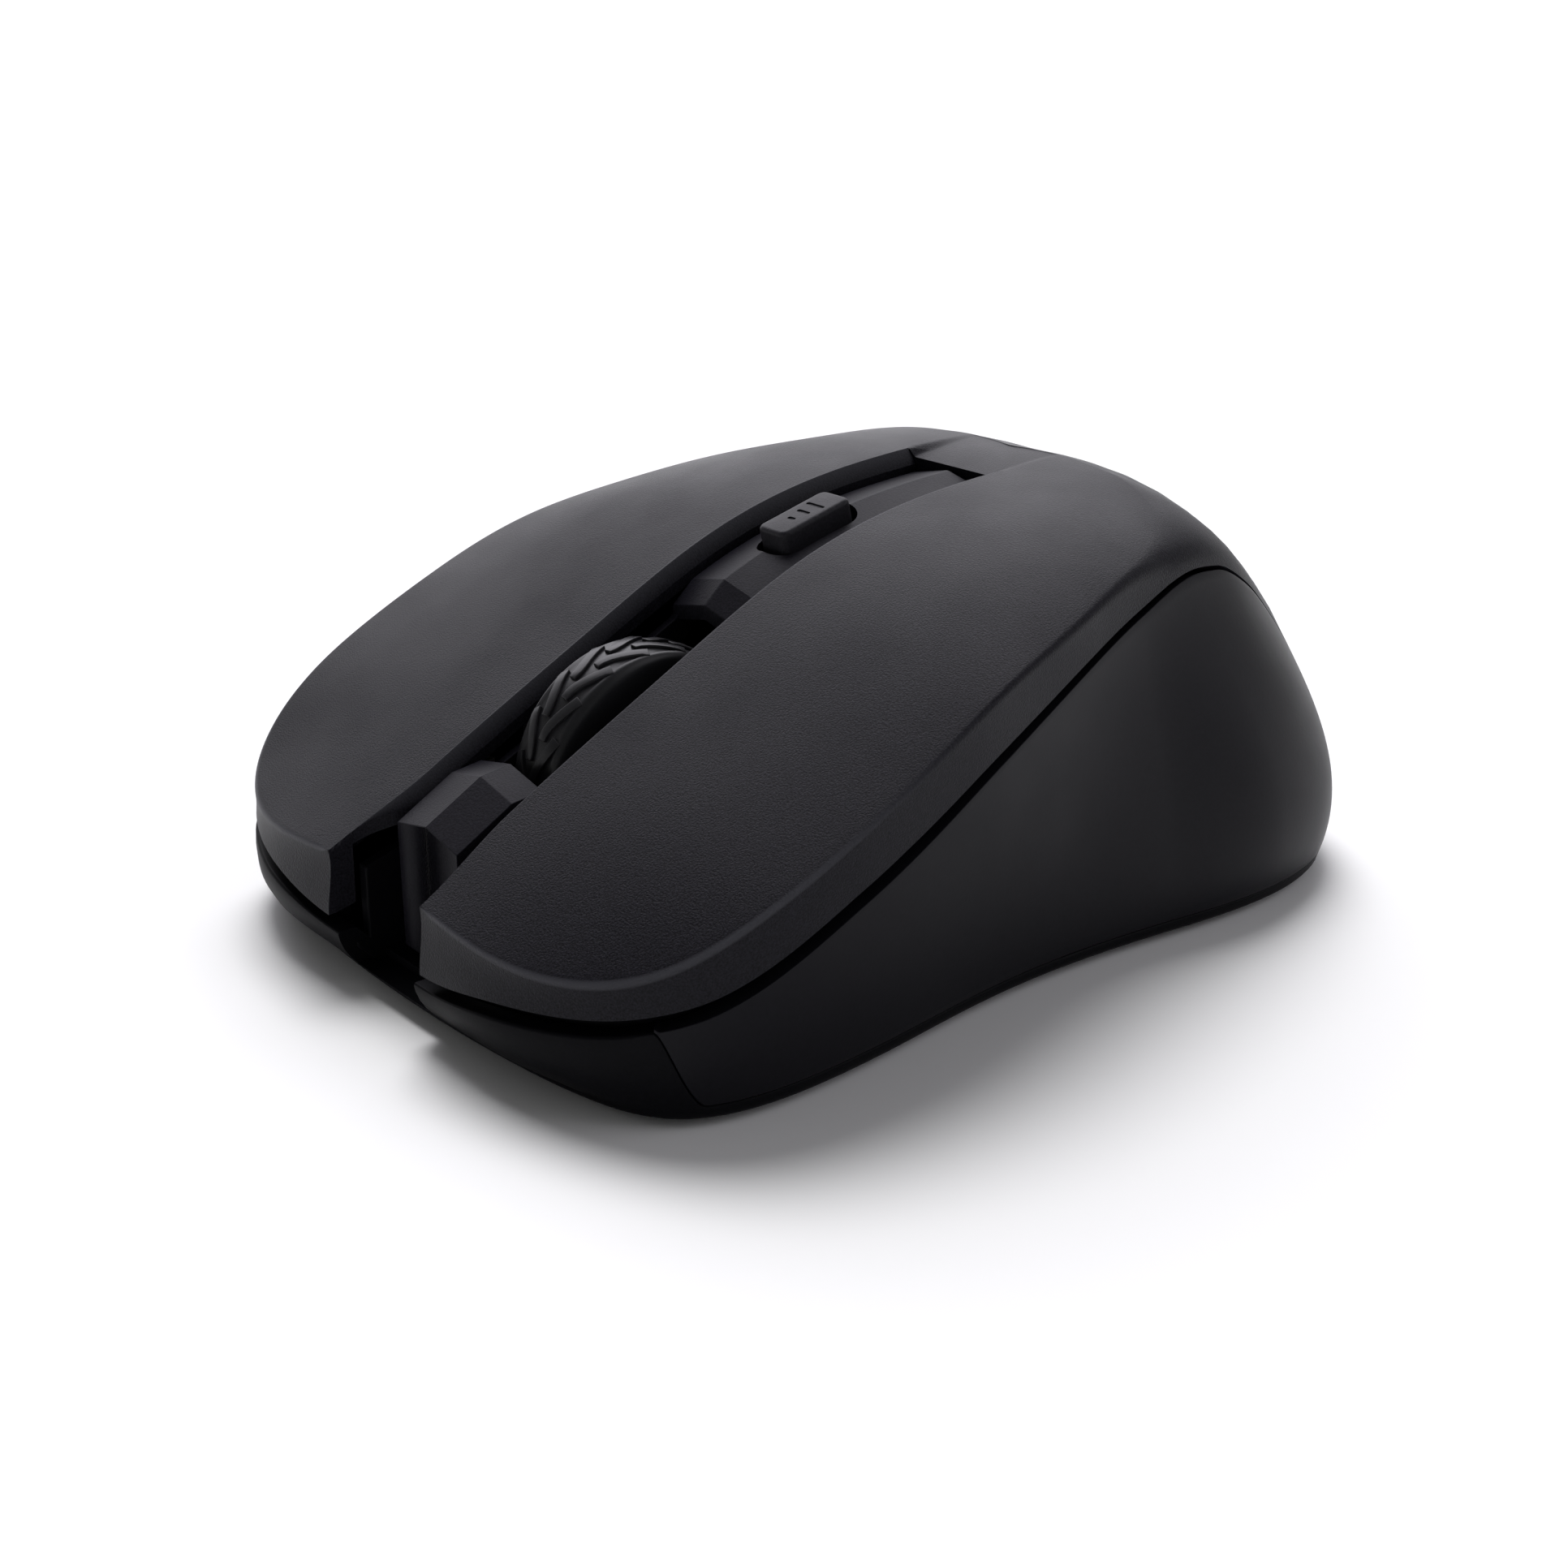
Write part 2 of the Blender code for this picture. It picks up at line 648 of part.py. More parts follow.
for name, side in (("left_side_panel", 1), ("right_side_panel", -1)):
    rows = []
    for share in np.linspace(0, 1, 6):
        row = []
        for a in panel_angles:
            low = panel_low(a)
            high = max(parting_z(a) - 0.05 * MM, low + 0.25 * MM)
            point = wall(a, low + (high - low) * share)
            row.append(Vector((side * point.x, point.y, point.z)))
        rows.append(row)
    panel = finish(grid_mesh(rows), name, SATIN)
    thicken(panel, PANEL_WALL)

# Buttons
BUTTON_END = angle_at_y(HINGE_Y)
CORNER_ANGLE = math.degrees(math.atan2(CHANNEL_HALF + CORNER_EXTRA, -CREASE_OUTLINE[1][1] * MM))
CORNER_Y = crease(CORNER_ANGLE).y
RETURN_SHARE = RETURN_DEPTH / (HINGE_Y - CORNER_Y)
button_shares = [0, RETURN_SHARE, RETURN_SHARE + 0.005] + list(np.linspace(0.075, 1, 20))
button_angles = spaced_angles(CORNER_ANGLE, BUTTON_END, button_shares)


def edge_x(y):
    """Inner edge of a button's top, wider at the front corner."""
    return CHANNEL_HALF + CORNER_EXTRA * (1 - ease((y - CORNER_Y) / (10 * MM)))


def chamfer(y):
    return ease((y - CORNER_Y - RETURN_DEPTH) / (7 * MM))


def button_rows(side):
    corner_z = skirt_z(CORNER_ANGLE)
    rows = [[] for _ in range(10)]
    for share, angle in zip(button_shares, button_angles):
        y = CORNER_Y + (HINGE_Y - CORNER_Y) * share
        out = crease(angle)
        if share == 0:
            start = Vector((out.x, out.y))
        else:
            start = Vector((edge_x(y), y))
        top = top_z(start.x, start.y)
        narrow = chamfer(y)
        low_x = start.x - CHAMFER_WIDTH * narrow
        low_z = top - CHAMFER_DROP * narrow
        lip = Vector((low_x, start.y, low_z - LIP))
        if share <= RETURN_SHARE:
            lip.z = corner_z + 0.25 * (start.y - CORNER_Y)
        if share == 0:
            lip = wall(angle, corner_z)
        column = [lip, Vector((low_x, start.y, low_z))]
        for along in (0, 0.17, 0.34, 0.5, 0.67, 0.84, 1):
            plan = start.lerp(out.xy, along)
            column.append(Vector((plan.x, plan.y, top_z(plan.x, plan.y))))
        column.append(wall(angle, skirt_z(angle)))
        for row, point in zip(rows, column):
            row.append(Vector((side * point.x, point.y, point.z)))
    return rows


POST_SIZE = 1.5 * MM
SWITCH_LOW = BOARD_TOP + GAP
SWITCH_TOP = SWITCH_LOW + SWITCH[2]
PLUNGER_Y = SWITCH_Y - 0.5 * MM
POST_LOW = SWITCH_TOP + PLUNGER_OUT + GAP
HINGE_Z = crest(HINGE_Y) - 2 * MM
for name, side in (("left_button", 1), ("right_button", -1)):
    button = finish(grid_mesh(button_rows(side)), name, COVER)
    thicken(button, SHELL)
    x = side * SWITCH_X
    post_high = top_z(SWITCH_X, PLUNGER_Y - POST_SIZE) - 0.4 * MM
    add(button, box(
        name + "_post", (x - POST_SIZE, PLUNGER_Y - POST_SIZE, POST_LOW),
        (x + POST_SIZE, PLUNGER_Y + POST_SIZE, post_high), COVER,
    ))
    set_origin(button, (0, HINGE_Y, HINGE_Z))

# Palm cover
PALM_START = angle_at_y(HINGE_Y + GAP)
palm_half = list(np.linspace(PALM_START, 180, 17))
TROUGH_DROP = 0.9 * MM
PALM_POLE = 22 * MM


def trough(x, y):
    """Shallow hollow that carries the channel on into the palm and dies out."""
    fade = 1 - min(max((y - HINGE_Y) / TROUGH_LENGTH, 0), 1)
    across = 1 - min(max((abs(x) - CHANNEL_HALF + CHAMFER_WIDTH) / CHAMFER_WIDTH, 0), 1)
    return TROUGH_DROP * fade * fade * across


def palm_column(angle):
    out = crease(angle)
    round_off = steps_smooth(ROUNDING, angle) * MM
    turn = (angle - PALM_START) / (180 - PALM_START)
    start = Vector((0, HINGE_Y + GAP + (PALM_POLE - HINGE_Y) * turn))
    inward = (start - out.xy).normalized()
    end = out.xy + inward * round_off
    column = []
    for along in (0, 0.19, 0.24, 0.5, 0.75, 1):
        plan = start.lerp(end, along)
        column.append(Vector((plan.x, plan.y, top_z(plan.x, plan.y) - trough(plan.x, plan.y))))
    low_z = skirt_z(angle)
    foot = wall(angle, max(out.z - round_off, low_z + 0.3 * MM))
    flat = column[-1]
    for t in (0.2, 0.4, 0.6, 0.8, 1.0):
        column.append(flat * (1 - t) ** 2 + out * 2 * t * (1 - t) + foot * t * t)
    for t in (0.25, 0.5, 0.75, 1.0):
        column.append(wall(angle, foot.z + (low_z - foot.z) * t))
    return column


palm_columns = [palm_column(a) for a in palm_half]
mirrored = [[Vector((-p.x, p.y, p.z)) for p in column] for column in reversed(palm_columns[:-1])]
palm_columns = palm_columns + mirrored
palm_rows = [list(row) for row in zip(*palm_columns)]
palm_cover = finish(grid_mesh(palm_rows), "palm_cover", COVER)
thicken(palm_cover, SHELL)
add(palm_cover, rod(
    "case_boss", (0, CASE_SCREW_Y, FLOOR_TOP + GAP), (0, CASE_SCREW_Y, 13 * MM), 2.4 * MM, COVER, 16
))
add(palm_cover, box(
    "boss_rib", (-0.8 * MM, CASE_SCREW_Y, FLOOR_TOP + GAP),
    (0.8 * MM, wall(180, 8 * MM).y - 0.9 * MM, 12 * MM), COVER,
))
cut(palm_cover, rod(
    "boss_hole", (0, CASE_SCREW_Y, 0), (0, CASE_SCREW_Y, 9 * MM), SCREW_RADIUS + RUN, COVER, 12
))

# Spine
work = bmesh.new()
nose_low = CRADLE_Z + ARM_HEIGHT + 2 * GAP
nose_back = NOSE_FRONT + 1.4 * MM
nose_profile = [
    (NOSE_FRONT, FLOOR_TOP + GAP), (NOSE_FRONT, NOSE_RIDGE[0]), (NOSE_BREAK, NOSE_RIDGE[1]),
    (NOSE_REAR, NOSE_RIDGE[2]), (NOSE_REAR, nose_low), (nose_back, nose_low), (nose_back, FLOOR_TOP + GAP),
]
ROOF_FALL = ROOF_SLOPE * SPINE_HALF
rings = []
for x in (-SPINE_HALF, 0, SPINE_HALF):
    fall = ROOF_FALL if x else 0
    rings.append([
        work.verts.new((x, y, z - (fall if i in (1, 2, 3) else 0))) for i, (y, z) in enumerate(nose_profile)
    ])
for first, second in zip(rings, rings[1:]):
    for i in range(len(first)):
        j = (i + 1) % len(first)
        work.faces.new((first[i], first[j], second[j], second[i]))
work.faces.new(rings[0])
work.faces.new(rings[-1])
bmesh.ops.recalc_face_normals(work, faces=work.faces[:])
spine = finish(work, "spine", COVER)
hollow = [
    (-SPINE_HALF + NOSE_WALL, nose_back, nose_low - 2 * MM),
    (-SPINE_HALF + NOSE_WALL, nose_back, NOSE_RIDGE[0] - ROOF_FALL - 0.8 * MM),
    (-SPINE_HALF + NOSE_WALL, NOSE_BREAK, NOSE_RIDGE[1] - ROOF_FALL - 1.4 * MM),
    (-SPINE_HALF + NOSE_WALL, NOSE_REAR + MM, NOSE_RIDGE[2] - ROOF_FALL - 1.4 * MM),
    (-SPINE_HALF + NOSE_WALL, NOSE_REAR + MM, nose_low - 2 * MM),
]
cut(spine, outline_plate("nose_hollow", hollow, (2 * (SPINE_HALF - NOSE_WALL), 0, 0), COVER))


def strip_z(y):
    if y < STRIP_STEP:
        slope = 0.89
        return crest(STRIP_STEP) - STRIP_DROP - slope * (STRIP_STEP - y)
    return crest(y) - STRIP_DROP


strip_ys = [STRIP_FRONT, STRIP_STEP] + list(np.linspace(STRIP_STEP, STRIP_END, 9))[1:]
strip_rows = []
for share in (-1, -0.5, 0, 0.5, 1):
    x = share * SPINE_HALF
    strip_rows.append([Vector((x, y, strip_z(y) - ROOF_SLOPE * abs(x))) for y in strip_ys])
strip = finish(grid_mesh(strip_rows), "strip", COVER)
thicken(strip, STRIP_WALL)
add(spine, strip)
rail_front = NOSE_REAR - 1.5 * MM
rail_rear = STRIP_STEP + 0.5 * MM
rail_high = strip_z(rail_rear) - ROOF_FALL - 0.5 * MM
for side in (-1, 1):
    x = side * SPINE_HALF
    profile = [
        (x, rail_front, 13.4 * MM), (x, rail_front, 16.4 * MM), (x, STRIP_FRONT - 0.4 * MM, 27.4 * MM),
        (x, rail_rear, rail_high), (x, rail_rear, rail_high - 3.0 * MM),
        (x, STRIP_FRONT - 0.4 * MM, 24.2 * MM),
    ]
    add(spine, outline_plate("rail", profile, (-side * RAIL, 0, 0), COVER))

# Top key in the strip, in a frame tilted with the strip
key_rise = (crest(KEY_Y + 4 * MM) - crest(KEY_Y - 4 * MM)) / (8 * MM)
KEY_TILT = math.atan(key_rise)
KEY_FRAME = Matrix.Translation((0, KEY_Y, crest(KEY_Y))) @ Matrix.Rotation(KEY_TILT, 4, "X")
key_hole = box(
    "key_hole", (-KEY_HALF[0] - KEY_CLEARANCE, -KEY_HALF[1] - KEY_CLEARANCE, -6 * MM),
    (KEY_HALF[0] + KEY_CLEARANCE, KEY_HALF[1] + KEY_CLEARANCE, 3 * MM), COVER,
)
key_hole.matrix_world = KEY_FRAME
cut(spine, key_hole)
FLANGE_TOP = STRIP_DROP + ROOF_SLOPE * 3.4 * MM + STRIP_WALL + 2 * GAP
FLANGE = 0.8 * MM
STEM = 0.9 * MM
TACT_TOP = FLANGE_TOP + FLANGE + STEM + GAP
TACT_BODY = TACT_TOP + TACT_OUT
KEY_BOARD = TACT_BODY + TACT[2] + GAP
KEY_BOARD_SIZE = (4.2 * MM, 11.0 * MM, 1.0 * MM)
for y in (-8.6 * MM, 8.6 * MM):
    foot_y = (KEY_FRAME @ Vector((0, y, 0))).y
    high = (KEY_FRAME.inverted() @ Vector((0, foot_y, strip_z(foot_y) - 0.8 * MM))).z
    leg = box("leg", (-1.5 * MM, y - 1.2 * MM, -KEY_BOARD + GAP), (1.5 * MM, y + 1.2 * MM, high), COVER)
    leg.matrix_world = KEY_FRAME
    add(spine, leg)

dpi_button = box(
    "dpi_button", (-KEY_HALF[0], -KEY_HALF[1], -FLANGE_TOP - FLANGE / 2),
    (KEY_HALF[0], KEY_HALF[1], KEY_PROUD), COVER, 0.5 * MM
)
key_flange = box(
    "key_flange", (-3.2 * MM, -5.6 * MM, -FLANGE_TOP - FLANGE), (3.2 * MM, 5.6 * MM, -FLANGE_TOP), COVER
)
key_stem = box(
    "key_stem", (-1.2 * MM, -1.2 * MM, -TACT_TOP + GAP), (1.2 * MM, 1.2 * MM, -FLANGE_TOP - FLANGE / 2), COVER
)
add(dpi_button, key_flange)
add(dpi_button, key_stem)
dpi_plunger = rod(
    "dpi_plunger", (0, 0, -TACT_TOP), (0, 0, -TACT_BODY - TACT_IN), TACT_RADIUS, WHITE, 16
)
dpi_switch = box(
    "dpi_switch", (-TACT[0] / 2, -TACT[1] / 2, -TACT_BODY - TACT[2]),
    (TACT[0] / 2, TACT[1] / 2, -TACT_BODY), CHIP,
)
dpi_well = rod(
    "dpi_well", (0, 0, MM - TACT_BODY), (0, 0, -TACT_BODY - TACT_IN - KEY_TRAVEL - GAP),
    TACT_RADIUS + RUN, CHIP, 16,
)
cut(dpi_switch, dpi_well)
dpi_board = box(
    "dpi_board", (-KEY_BOARD_SIZE[0], -KEY_BOARD_SIZE[1], -KEY_BOARD - KEY_BOARD_SIZE[2]),
    (KEY_BOARD_SIZE[0], KEY_BOARD_SIZE[1], -KEY_BOARD), GREEN,
)
for item in (dpi_button, key_flange, key_stem, dpi_plunger, dpi_switch, dpi_well, dpi_board):
    item.matrix_world = KEY_FRAME

# Scroll wheel
inner = WHEEL_RADIUS - TYRE_DEPTH
edge = WHEEL_HALF - 0.8 * MM
shoulder = WHEEL_RADIUS - 0.9 * MM
near_top = WHEEL_RADIUS - 0.2 * MM
turned("wheel_tyre", [
    (inner, -WHEEL_HALF + 0.3 * MM), (shoulder, -WHEEL_HALF), (near_top, -edge), (WHEEL_RADIUS, 0),
    (near_top, edge), (shoulder, WHEEL_HALF), (inner, WHEEL_HALF - 0.3 * MM),
], RUBBER)
bore = AXLE_RADIUS + RUN
rim = inner - RUN
half = WHEEL_HALF - 0.4 * MM
turned("wheel_hub", [
    (bore, -half), (bore + 1.8 * MM, -half), (bore + 2.1 * MM, -1.5 * MM), (rim - 1.3 * MM, -1.5 * MM),
    (rim - MM, -half), (rim, -half), (rim, half), (rim - MM, half), (rim - 1.3 * MM, 1.5 * MM),
    (bore + 2.1 * MM, 1.5 * MM), (bore + 1.8 * MM, half), (bore, half),
], INNER)
ARM_OUTER = ARM_INNER + ARM
ENCODER_X = -ARM_OUTER - GAP
rod(
    "wheel_axle", (ENCODER_X - ENCODER[0] + 0.4 * MM, WHEEL_Y, WHEEL_Z),
    (ARM_OUTER + 0.8 * MM, WHEEL_Y, WHEEL_Z), AXLE_RADIUS, STEEL, 20,
)
for name in ("wheel_tyre", "wheel_hub", "wheel_axle"):
    set_origin(bpy.data.objects[name], (0, WHEEL_Y, WHEEL_Z))

# Cradle
CRADLE_TOP = CRADLE_Z + ARM_HEIGHT
BAR = 1.6 * MM
FRONT_BAR = WHEEL_Y - math.sqrt(WHEEL_RADIUS ** 2 - (WHEEL_Z - CRADLE_TOP) ** 2) - 1.4 * MM
wheel_cradle = box(
    "wheel_cradle", (-ARM_OUTER, FRONT_BAR - BAR, CRADLE_Z), (ARM_OUTER, PIVOT_Y + BAR / 2, CRADLE_TOP), INNER
)
cut(wheel_cradle, box(
    "wheel_well", (-ARM_INNER, FRONT_BAR, 0), (ARM_INNER, PIVOT_Y - BAR / 2, 40 * MM), INNER
))
for side in (-1, 1):
    low, high = sorted((side * ARM_INNER, side * ARM_OUTER))
    add(wheel_cradle, box(
        "ear", (low, WHEEL_Y - 2.8 * MM, CRADLE_Z + 0.5 * MM),
        (high, WHEEL_Y + 2.8 * MM, WHEEL_Z + 2.8 * MM), INNER,
    ))
cut(wheel_cradle, rod(
    "axle_hole", (-20 * MM, WHEEL_Y, WHEEL_Z), (20 * MM, WHEEL_Y, WHEEL_Z), AXLE_RADIUS + RUN, INNER, 20
))
TRUNNION = POST_INNER + POST + 0.3 * MM
add(wheel_cradle, rod(
    "trunnion", (-TRUNNION, PIVOT_Y, PIVOT_Z), (TRUNNION, PIVOT_Y, PIVOT_Z), PIVOT_RADIUS, INNER, 16
))
set_origin(wheel_cradle, (0, PIVOT_Y, PIVOT_Z))
scroll_encoder = box(
    "scroll_encoder", (ENCODER_X - ENCODER[0], WHEEL_Y - ENCODER[1] / 2, WHEEL_Z - ENCODER[2] / 2),
    (ENCODER_X, WHEEL_Y + ENCODER[1] / 2, WHEEL_Z + ENCODER[2] / 2), GREEN,
)
cut(scroll_encoder, rod(
    "encoder_bore", (-20 * MM, WHEEL_Y, WHEEL_Z), (20 * MM, WHEEL_Y, WHEEL_Z), AXLE_RADIUS + RUN, GREEN, 20
))

# Main board and what sits on it
main_board = box(
    "main_board", (-BOARD_HALF, BOARD_FRONT, BOARD_Z), (BOARD_HALF, BOARD_REAR, BOARD_TOP), GREEN
)
WELL_HALF = POST_INNER + POST + 0.8 * MM
cut(main_board, box(
    "board_well", (-WELL_HALF, WHEEL_Y - 8.2 * MM, 0), (WELL_HALF, PIVOT_Y + 3.2 * MM, 10 * MM), GREEN
))
cut(main_board, box(
    "lens_hole", (-4 * MM, SENSOR_Y - 3 * MM, 0), (4 * MM, SENSOR_Y + 3 * MM, 10 * MM), GREEN
))
for side in (-1, 1):
    x = side * SCREW_X
    cut(main_board, rod("screw_hole", (x, SCREW_Y, 0), (x, SCREW_Y, 10 * MM), SCREW_RADIUS + RUN, GREEN, 12))


def screw(name, x, y, tip, seat, head, upside_down):
    """Headed screw: shank up to its seat, with the head above it or, turned over, below it."""
    made = bmesh.new()
    away = -1 if upside_down else 1
    profile = [
        (0, tip), (SCREW_RADIUS, tip), (SCREW_RADIUS, seat), (head[0], seat),
        (head[0], seat + away * head[1]), (0, seat + away * head[1]),
    ]
    verts = [made.verts.new((x + r, y, z)) for r, z in profile]
    lines = [made.edges.new(pair) for pair in zip(verts, verts[1:])]
    bmesh.ops.spin(made, geom=verts + lines, cent=(x, y, 0), axis=(0, 0, 1), angle=math.tau, steps=16)
    bmesh.ops.remove_doubles(made, verts=made.verts[:], dist=0.005 * MM)
    bmesh.ops.recalc_face_normals(made, faces=made.faces[:])
    return finish(made, name, STEEL)


for name, side in (("left_board_screw", 1), ("right_board_screw", -1)):
    screw(name, side * SCREW_X, SCREW_Y, 2.1 * MM, BOARD_TOP + 0.2 * MM, SCREW_HEAD, False)
screw("case_screw", 0, CASE_SCREW_Y, 8.0 * MM, HEAD_SEAT - 0.2 * MM, CASE_HEAD, True)

for side, name in ((1, "left"), (-1, "right")):
    x = side * SWITCH_X
    body = box(
        name + "_switch", (x - SWITCH[0] / 2, SWITCH_Y - SWITCH[1] / 2, SWITCH_LOW),
        (x + SWITCH[0] / 2, SWITCH_Y + SWITCH[1] / 2, SWITCH_TOP), CHIP, 0.3 * MM,
    )
    well_low = SWITCH_TOP - PLUNGER_IN - PLUNGER_OUT - GAP
    cut(body, box(
        name + "_well", (x - PLUNGER[0] / 2 - RUN, PLUNGER_Y - PLUNGER[1] / 2 - RUN, well_low),
        (x + PLUNGER[0] / 2 + RUN, PLUNGER_Y + PLUNGER[1] / 2 + RUN, SWITCH_TOP + MM), CHIP,
    ))
    plunger = box(
        name + "_plunger", (x - PLUNGER[0] / 2, PLUNGER_Y - PLUNGER[1] / 2, SWITCH_TOP - PLUNGER_IN),
        (x + PLUNGER[0] / 2, PLUNGER_Y + PLUNGER[1] / 2, SWITCH_TOP + PLUNGER_OUT), WHITE,
    )
    set_origin(plunger, (x, PLUNGER_Y, SWITCH_TOP))

MIDDLE_Y = FRONT_BAR - BAR / 2
MIDDLE_TOP = CRADLE_Z - GAP
MIDDLE_BODY = MIDDLE_TOP - TACT_OUT
middle_switch = box(
    "middle_switch", (-TACT[0] / 2, MIDDLE_Y - TACT[1] / 2, BOARD_TOP + GAP),
    (TACT[0] / 2, MIDDLE_Y + TACT[1] / 2, MIDDLE_BODY), CHIP,
)
cut(middle_switch, rod(
    "middle_well", (0, MIDDLE_Y, MIDDLE_BODY - 1.7 * MM), (0, MIDDLE_Y, MIDDLE_BODY + MM),
    TACT_RADIUS + RUN, CHIP, 16,
))
middle_plunger = rod(
    "middle_plunger", (0, MIDDLE_Y, MIDDLE_BODY - TACT_IN), (0, MIDDLE_Y, MIDDLE_TOP), TACT_RADIUS, WHITE, 16
)
set_origin(middle_plunger, (0, MIDDLE_Y, MIDDLE_BODY))

PART_LOW = BOARD_TOP + GAP
LENS_TOP = BOARD_Z - GAP
LENS_HALF = (SENSOR_HOLE[0] + 2.5 * MM, SENSOR_HOLE[1] + 1.5 * MM)
box(
    "optical_sensor", (-6.2 * MM, SENSOR_Y - 4.4 * MM, PART_LOW),
    (6.2 * MM, SENSOR_Y + 4.4 * MM, PART_LOW + 3 * MM), CHIP,
)
sensor_lens = box(
    "sensor_lens", (-LENS_HALF[0], SENSOR_Y - LENS_HALF[1], FLOOR_TOP + GAP),
    (LENS_HALF[0], SENSOR_Y + LENS_HALF[1], LENS_TOP), CLEAR,
)
add(sensor_lens, rod(
    "lens_barrel", (0, SENSOR_Y, FLOOR_BOTTOM + 1.2 * MM), (0, SENSOR_Y, LENS_TOP - GAP), 2.4 * MM, CLEAR, 20
))
lamp_z = PART_LOW + 1.5 * MM
rod("sensor_led", (7.4 * MM, SENSOR_Y, lamp_z), (12.2 * MM, SENSOR_Y, lamp_z), 1.5 * MM, RED, 16)
box("radio_chip", (-15.5 * MM, -1.5 * MM, PART_LOW), (-9.5 * MM, 4.5 * MM, PART_LOW + 1.2 * MM), CHIP)
box("crystal", (14.5 * MM, -4.4 * MM, PART_LOW), (19.5 * MM, -1.2 * MM, PART_LOW + 2.6 * MM), STEEL, MM / 2)
rod("capacitor", (17 * MM, 3.4 * MM, PART_LOW), (17 * MM, 3.4 * MM, PART_LOW + 6 * MM), 2.5 * MM, CHIP, 20)

# Power switch
box(
    "power_switch", (POWER_X - 3.4 * MM, POWER_Y - 2.4 * MM, FLOOR_TOP + GAP),
    (POWER_X + 3.4 * MM + POWER_TRAVEL, POWER_Y + 2.4 * MM, BOARD_Z - GAP), CHIP,
)
power_slider = box(
    "power_slider", (POWER_X - KNOB[0] / 2, POWER_Y - KNOB[1] / 2, FLOOR_BOTTOM + 0.2 * MM),
    (POWER_X + KNOB[0] / 2, POWER_Y + KNOB[1] / 2, FLOOR_TOP), WHITE, 0.3 * MM,
)
set_origin(power_slider, (POWER_X, POWER_Y, FLOOR_TOP))

# Battery, contacts and door
BATTERY_Z = FLOOR_TOP + GAP + BATTERY_RADIUS
battery_end = BATTERY_X + BATTERY_LENGTH
battery = rod(
    "battery", (BATTERY_X, BATTERY_Y, BATTERY_Z), (battery_end, BATTERY_Y, BATTERY_Z), BATTERY_RADIUS, CELL, 32
)
add(battery, rod(
    "nub", (battery_end - MM, BATTERY_Y, BATTERY_Z), (battery_end + NUB[1], BATTERY_Y, BATTERY_Z),
    NUB[0], CELL, 16,
))
box(
    "battery_plate", (BAY_HALF - GAP - CONTACT, BATTERY_Y - CONTACT_HALF, FLOOR_TOP + GAP),
    (BAY_HALF - GAP, BATTERY_Y + CONTACT_HALF, BATTERY_Z + CONTACT_HALF), STEEL,
)
spring = []
spring_start = -BAY_HALF + GAP + 0.5 * MM
spring_length = BATTERY_X - GAP - 0.5 * MM - spring_start
TURNS = 3.5
for i in range(36):
    t = i / 35
    turn = t * TURNS * math.tau
    wide = (4.4 - 2.2 * t) * MM
    spring.append((
        spring_start + spring_length * t, BATTERY_Y + wide * math.cos(turn), BATTERY_Z + wide * math.sin(turn)
    ))
wire("battery_spring", spring, 0.4 * MM, STEEL)
battery_door = bay_plate("battery_door", DOOR_GROW, FLOOR_BOTTOM, FLOOR_BOTTOM + DOOR)
set_origin(battery_door, (0, BAY_FRONT - DOOR_GROW + 0.5 * MM, FLOOR_BOTTOM + 0.2 * MM))

# Stowed radio receiver
receiver_y = BATTERY_Y + BATTERY_RADIUS + 1.2 * MM
receiver_low = FLOOR_TOP + GAP
plug_end = RECEIVER[0] / 2
body_end = -RECEIVER[0] / 2 + 6 * MM
box(
    "receiver_body", (-RECEIVER[0] / 2, receiver_y - 0.6 * MM, receiver_low - 0.3 * MM),
    (body_end, receiver_y + RECEIVER[1] + 0.6 * MM, receiver_low + RECEIVER[2] + 0.6 * MM), CHIP, 0.6 * MM,
)
box(
    "receiver_plug", (body_end + GAP, receiver_y, receiver_low),
    (plug_end, receiver_y + RECEIVER[1], receiver_low + RECEIVER[2]), STEEL,
)
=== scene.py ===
"""Looks of the wireless mouse. Front is -Y, its own left side is +X, up is +Z, the desk is z = 0, in metres."""

import math

import bmesh
import bpy
import numpy as np
from mathutils import Matrix, Vector


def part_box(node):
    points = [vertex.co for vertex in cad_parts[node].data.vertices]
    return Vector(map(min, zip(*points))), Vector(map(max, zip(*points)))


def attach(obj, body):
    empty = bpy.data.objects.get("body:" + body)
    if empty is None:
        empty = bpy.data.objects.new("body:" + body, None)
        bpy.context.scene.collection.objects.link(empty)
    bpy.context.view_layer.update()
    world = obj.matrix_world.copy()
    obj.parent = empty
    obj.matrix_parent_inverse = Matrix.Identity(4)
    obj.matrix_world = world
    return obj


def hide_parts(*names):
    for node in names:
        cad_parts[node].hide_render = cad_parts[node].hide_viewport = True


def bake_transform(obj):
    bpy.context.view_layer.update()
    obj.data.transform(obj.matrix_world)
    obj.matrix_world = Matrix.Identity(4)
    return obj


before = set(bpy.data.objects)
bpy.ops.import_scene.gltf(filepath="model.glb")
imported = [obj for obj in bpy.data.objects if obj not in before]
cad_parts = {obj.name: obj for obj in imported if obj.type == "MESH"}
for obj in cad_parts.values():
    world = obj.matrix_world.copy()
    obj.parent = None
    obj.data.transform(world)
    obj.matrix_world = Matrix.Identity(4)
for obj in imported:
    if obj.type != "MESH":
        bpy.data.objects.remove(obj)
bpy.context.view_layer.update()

# Base tray
# The floor of the mouse with its front bumper, moulded in one piece of matt black plastic.
# A lofted tray: rounded bottom edge, outer wall, and inside it the step that the side panels stand on.
MM = 0.001


